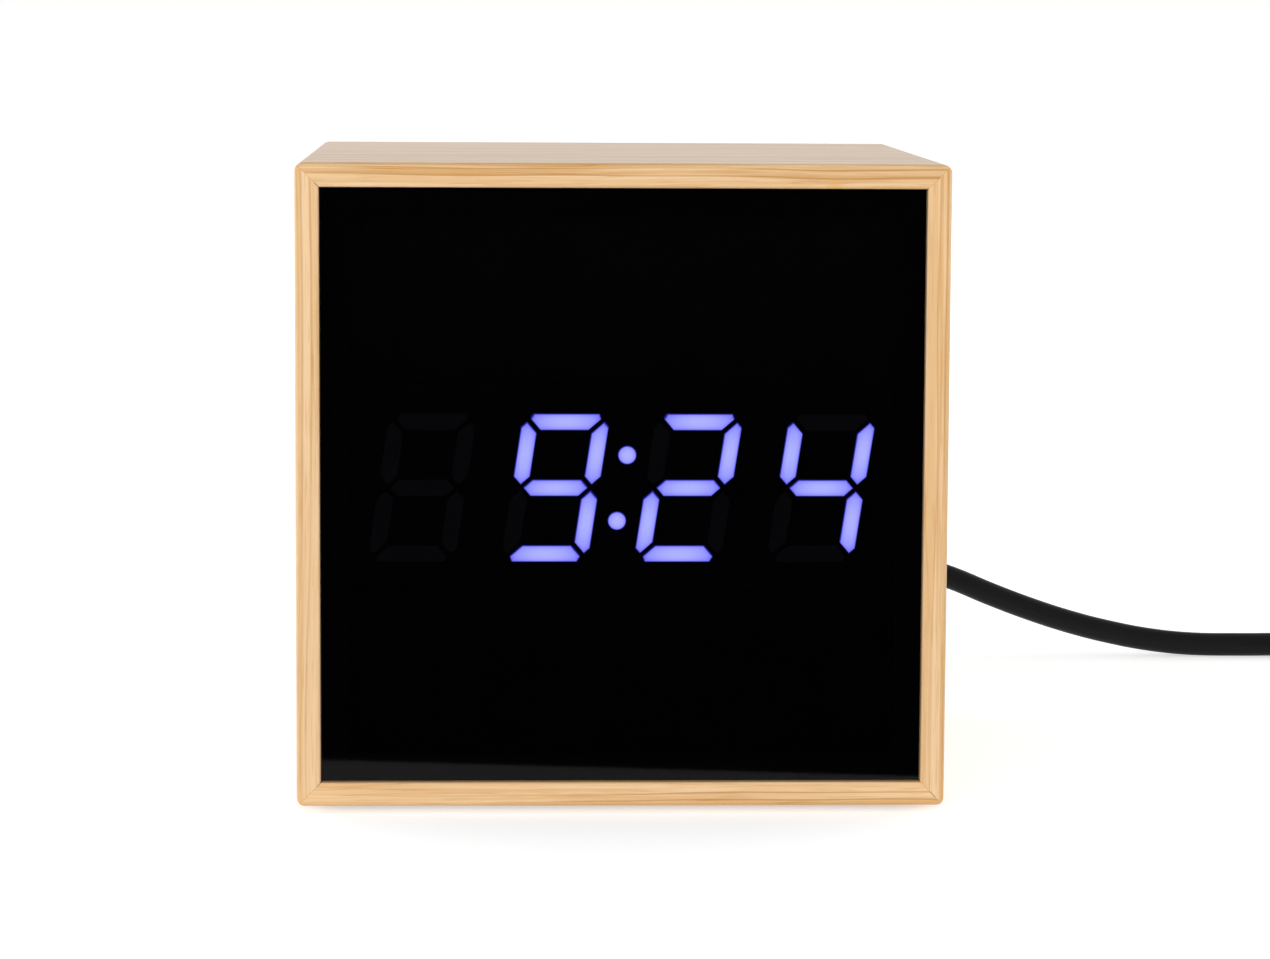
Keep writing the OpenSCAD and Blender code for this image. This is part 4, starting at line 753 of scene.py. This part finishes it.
def makeFloor():
    mesh = bpy.data.meshes.new("floor")
    half = stageSetup["floorSize"] / 2
    corners = [(-half, -half, 0), (half, -half, 0), (half, half, 0), (-half, half, 0)]
    mesh.from_pydata(corners, [], [(0, 1, 2, 3)])
    floor = bpy.data.objects.new("floor", mesh)
    scene.collection.objects.link(floor)
    material, tree, shader = newMaterial("paperPale", {
        "Base Color": hexColor(stageSetup["floor"]), "Roughness": 0.9, "Specular IOR Level": 0.0,
        "Emission Color": (1, 1, 1, 1),
    })
    place = addNode(tree, "TexCoord")["Object"]
    away = addNode(tree, "VectorMath", {0: place}, operation="LENGTH")[1]
    near, far = stageSetup["liftReach"]
    least, most = stageSetup["lift"]
    lift = addNode(tree, "MapRange", {0: away, 1: near, 2: far, 3: least, 4: most})[0]
    lift = addNode(tree, "Math", {0: whiteShown(tree), 1: lift}, operation="MULTIPLY")[0]
    feed(tree, shader, {"Emission Strength": lift})
    mesh.materials.append(material)


def makeWorld():
    world = bpy.data.worlds.new("studio")
    scene.world = world
    world.use_nodes = True
    tree = world.node_tree
    way = addNode(tree, "TexCoord")["Generated"]
    up = addNode(tree, "SeparateXYZ", {0: way})[2]
    low, high = stageSetup["ceilingFrom"]
    white = addNode(tree, "MapRange", {0: up, 1: low, 2: high, 3: 1.0, 4: stageSetup["ceiling"]})[0]
    power = addNode(tree, "MapRange", {0: whiteShown(tree), 3: stageSetup["fill"], 4: white})[0]
    feed(tree, tree.nodes["Background"], {"Color": (1, 1, 1, 1), "Strength": power})


def makeLamps():
    for name, (azimuth, level) in lamps.items():
        data = bpy.data.lights.new(name, "AREA")
        data.shape = "RECTANGLE"
        data.size = lampSetup["width"]
        data.size_y = lampSetup["tall"]
        data.energy = level * math.pi ** 2 * lampSetup["distance"] ** 2
        lamp = bpy.data.objects.new(name, data)
        scene.collection.objects.link(lamp)
        turn = math.radians(azimuth)
        reach = lampSetup["distance"]
        lamp.location = (reach * math.sin(turn), -reach * math.cos(turn), lampSetup["height"])
        aim = Vector(lampSetup["aim"]) - lamp.location
        lamp.rotation_euler = aim.to_track_quat("-Z", "Y").to_euler()
        lamp.visible_camera = False
        lamp.visible_glossy = name != "front"  # the dark card would hide it from the polished panel


def makeDarkCard():  # out of the frame, it lies before the clock and stands up behind the camera
    half, end, low, tall = (darkCard[key] for key in ("half", "end", "low", "tall"))
    (leftX, leftY), (rightX, rightY) = darkCard["near"]
    mesh = bpy.data.meshes.new("darkCard")
    mesh.from_pydata(
        [(-half, leftY, low), (leftX, leftY, low), (rightX, rightY, low), (half, rightY, low),
         (half, end, low), (-half, end, low), (half, end, tall), (-half, end, tall)],
        [], [(0, 5, 4, 3, 2, 1), (5, 7, 6, 4)],
    )
    card = bpy.data.objects.new("darkCard", mesh)
    scene.collection.objects.link(card)
    mesh.materials.append(newMaterial("cardBlack", {
        "Base Color": hexColor(darkCard["color"]), "Roughness": 0.9, "Specular IOR Level": 0.0,
    })[0])
    for ray in ("camera", "diffuse", "transmission", "shadow"):
        setattr(card, "visible_" + ray, False)


makeFloor()
makeWorld()
makeLamps()
makeDarkCard()
scene.view_settings.view_transform = "Standard"
print("stage lit")
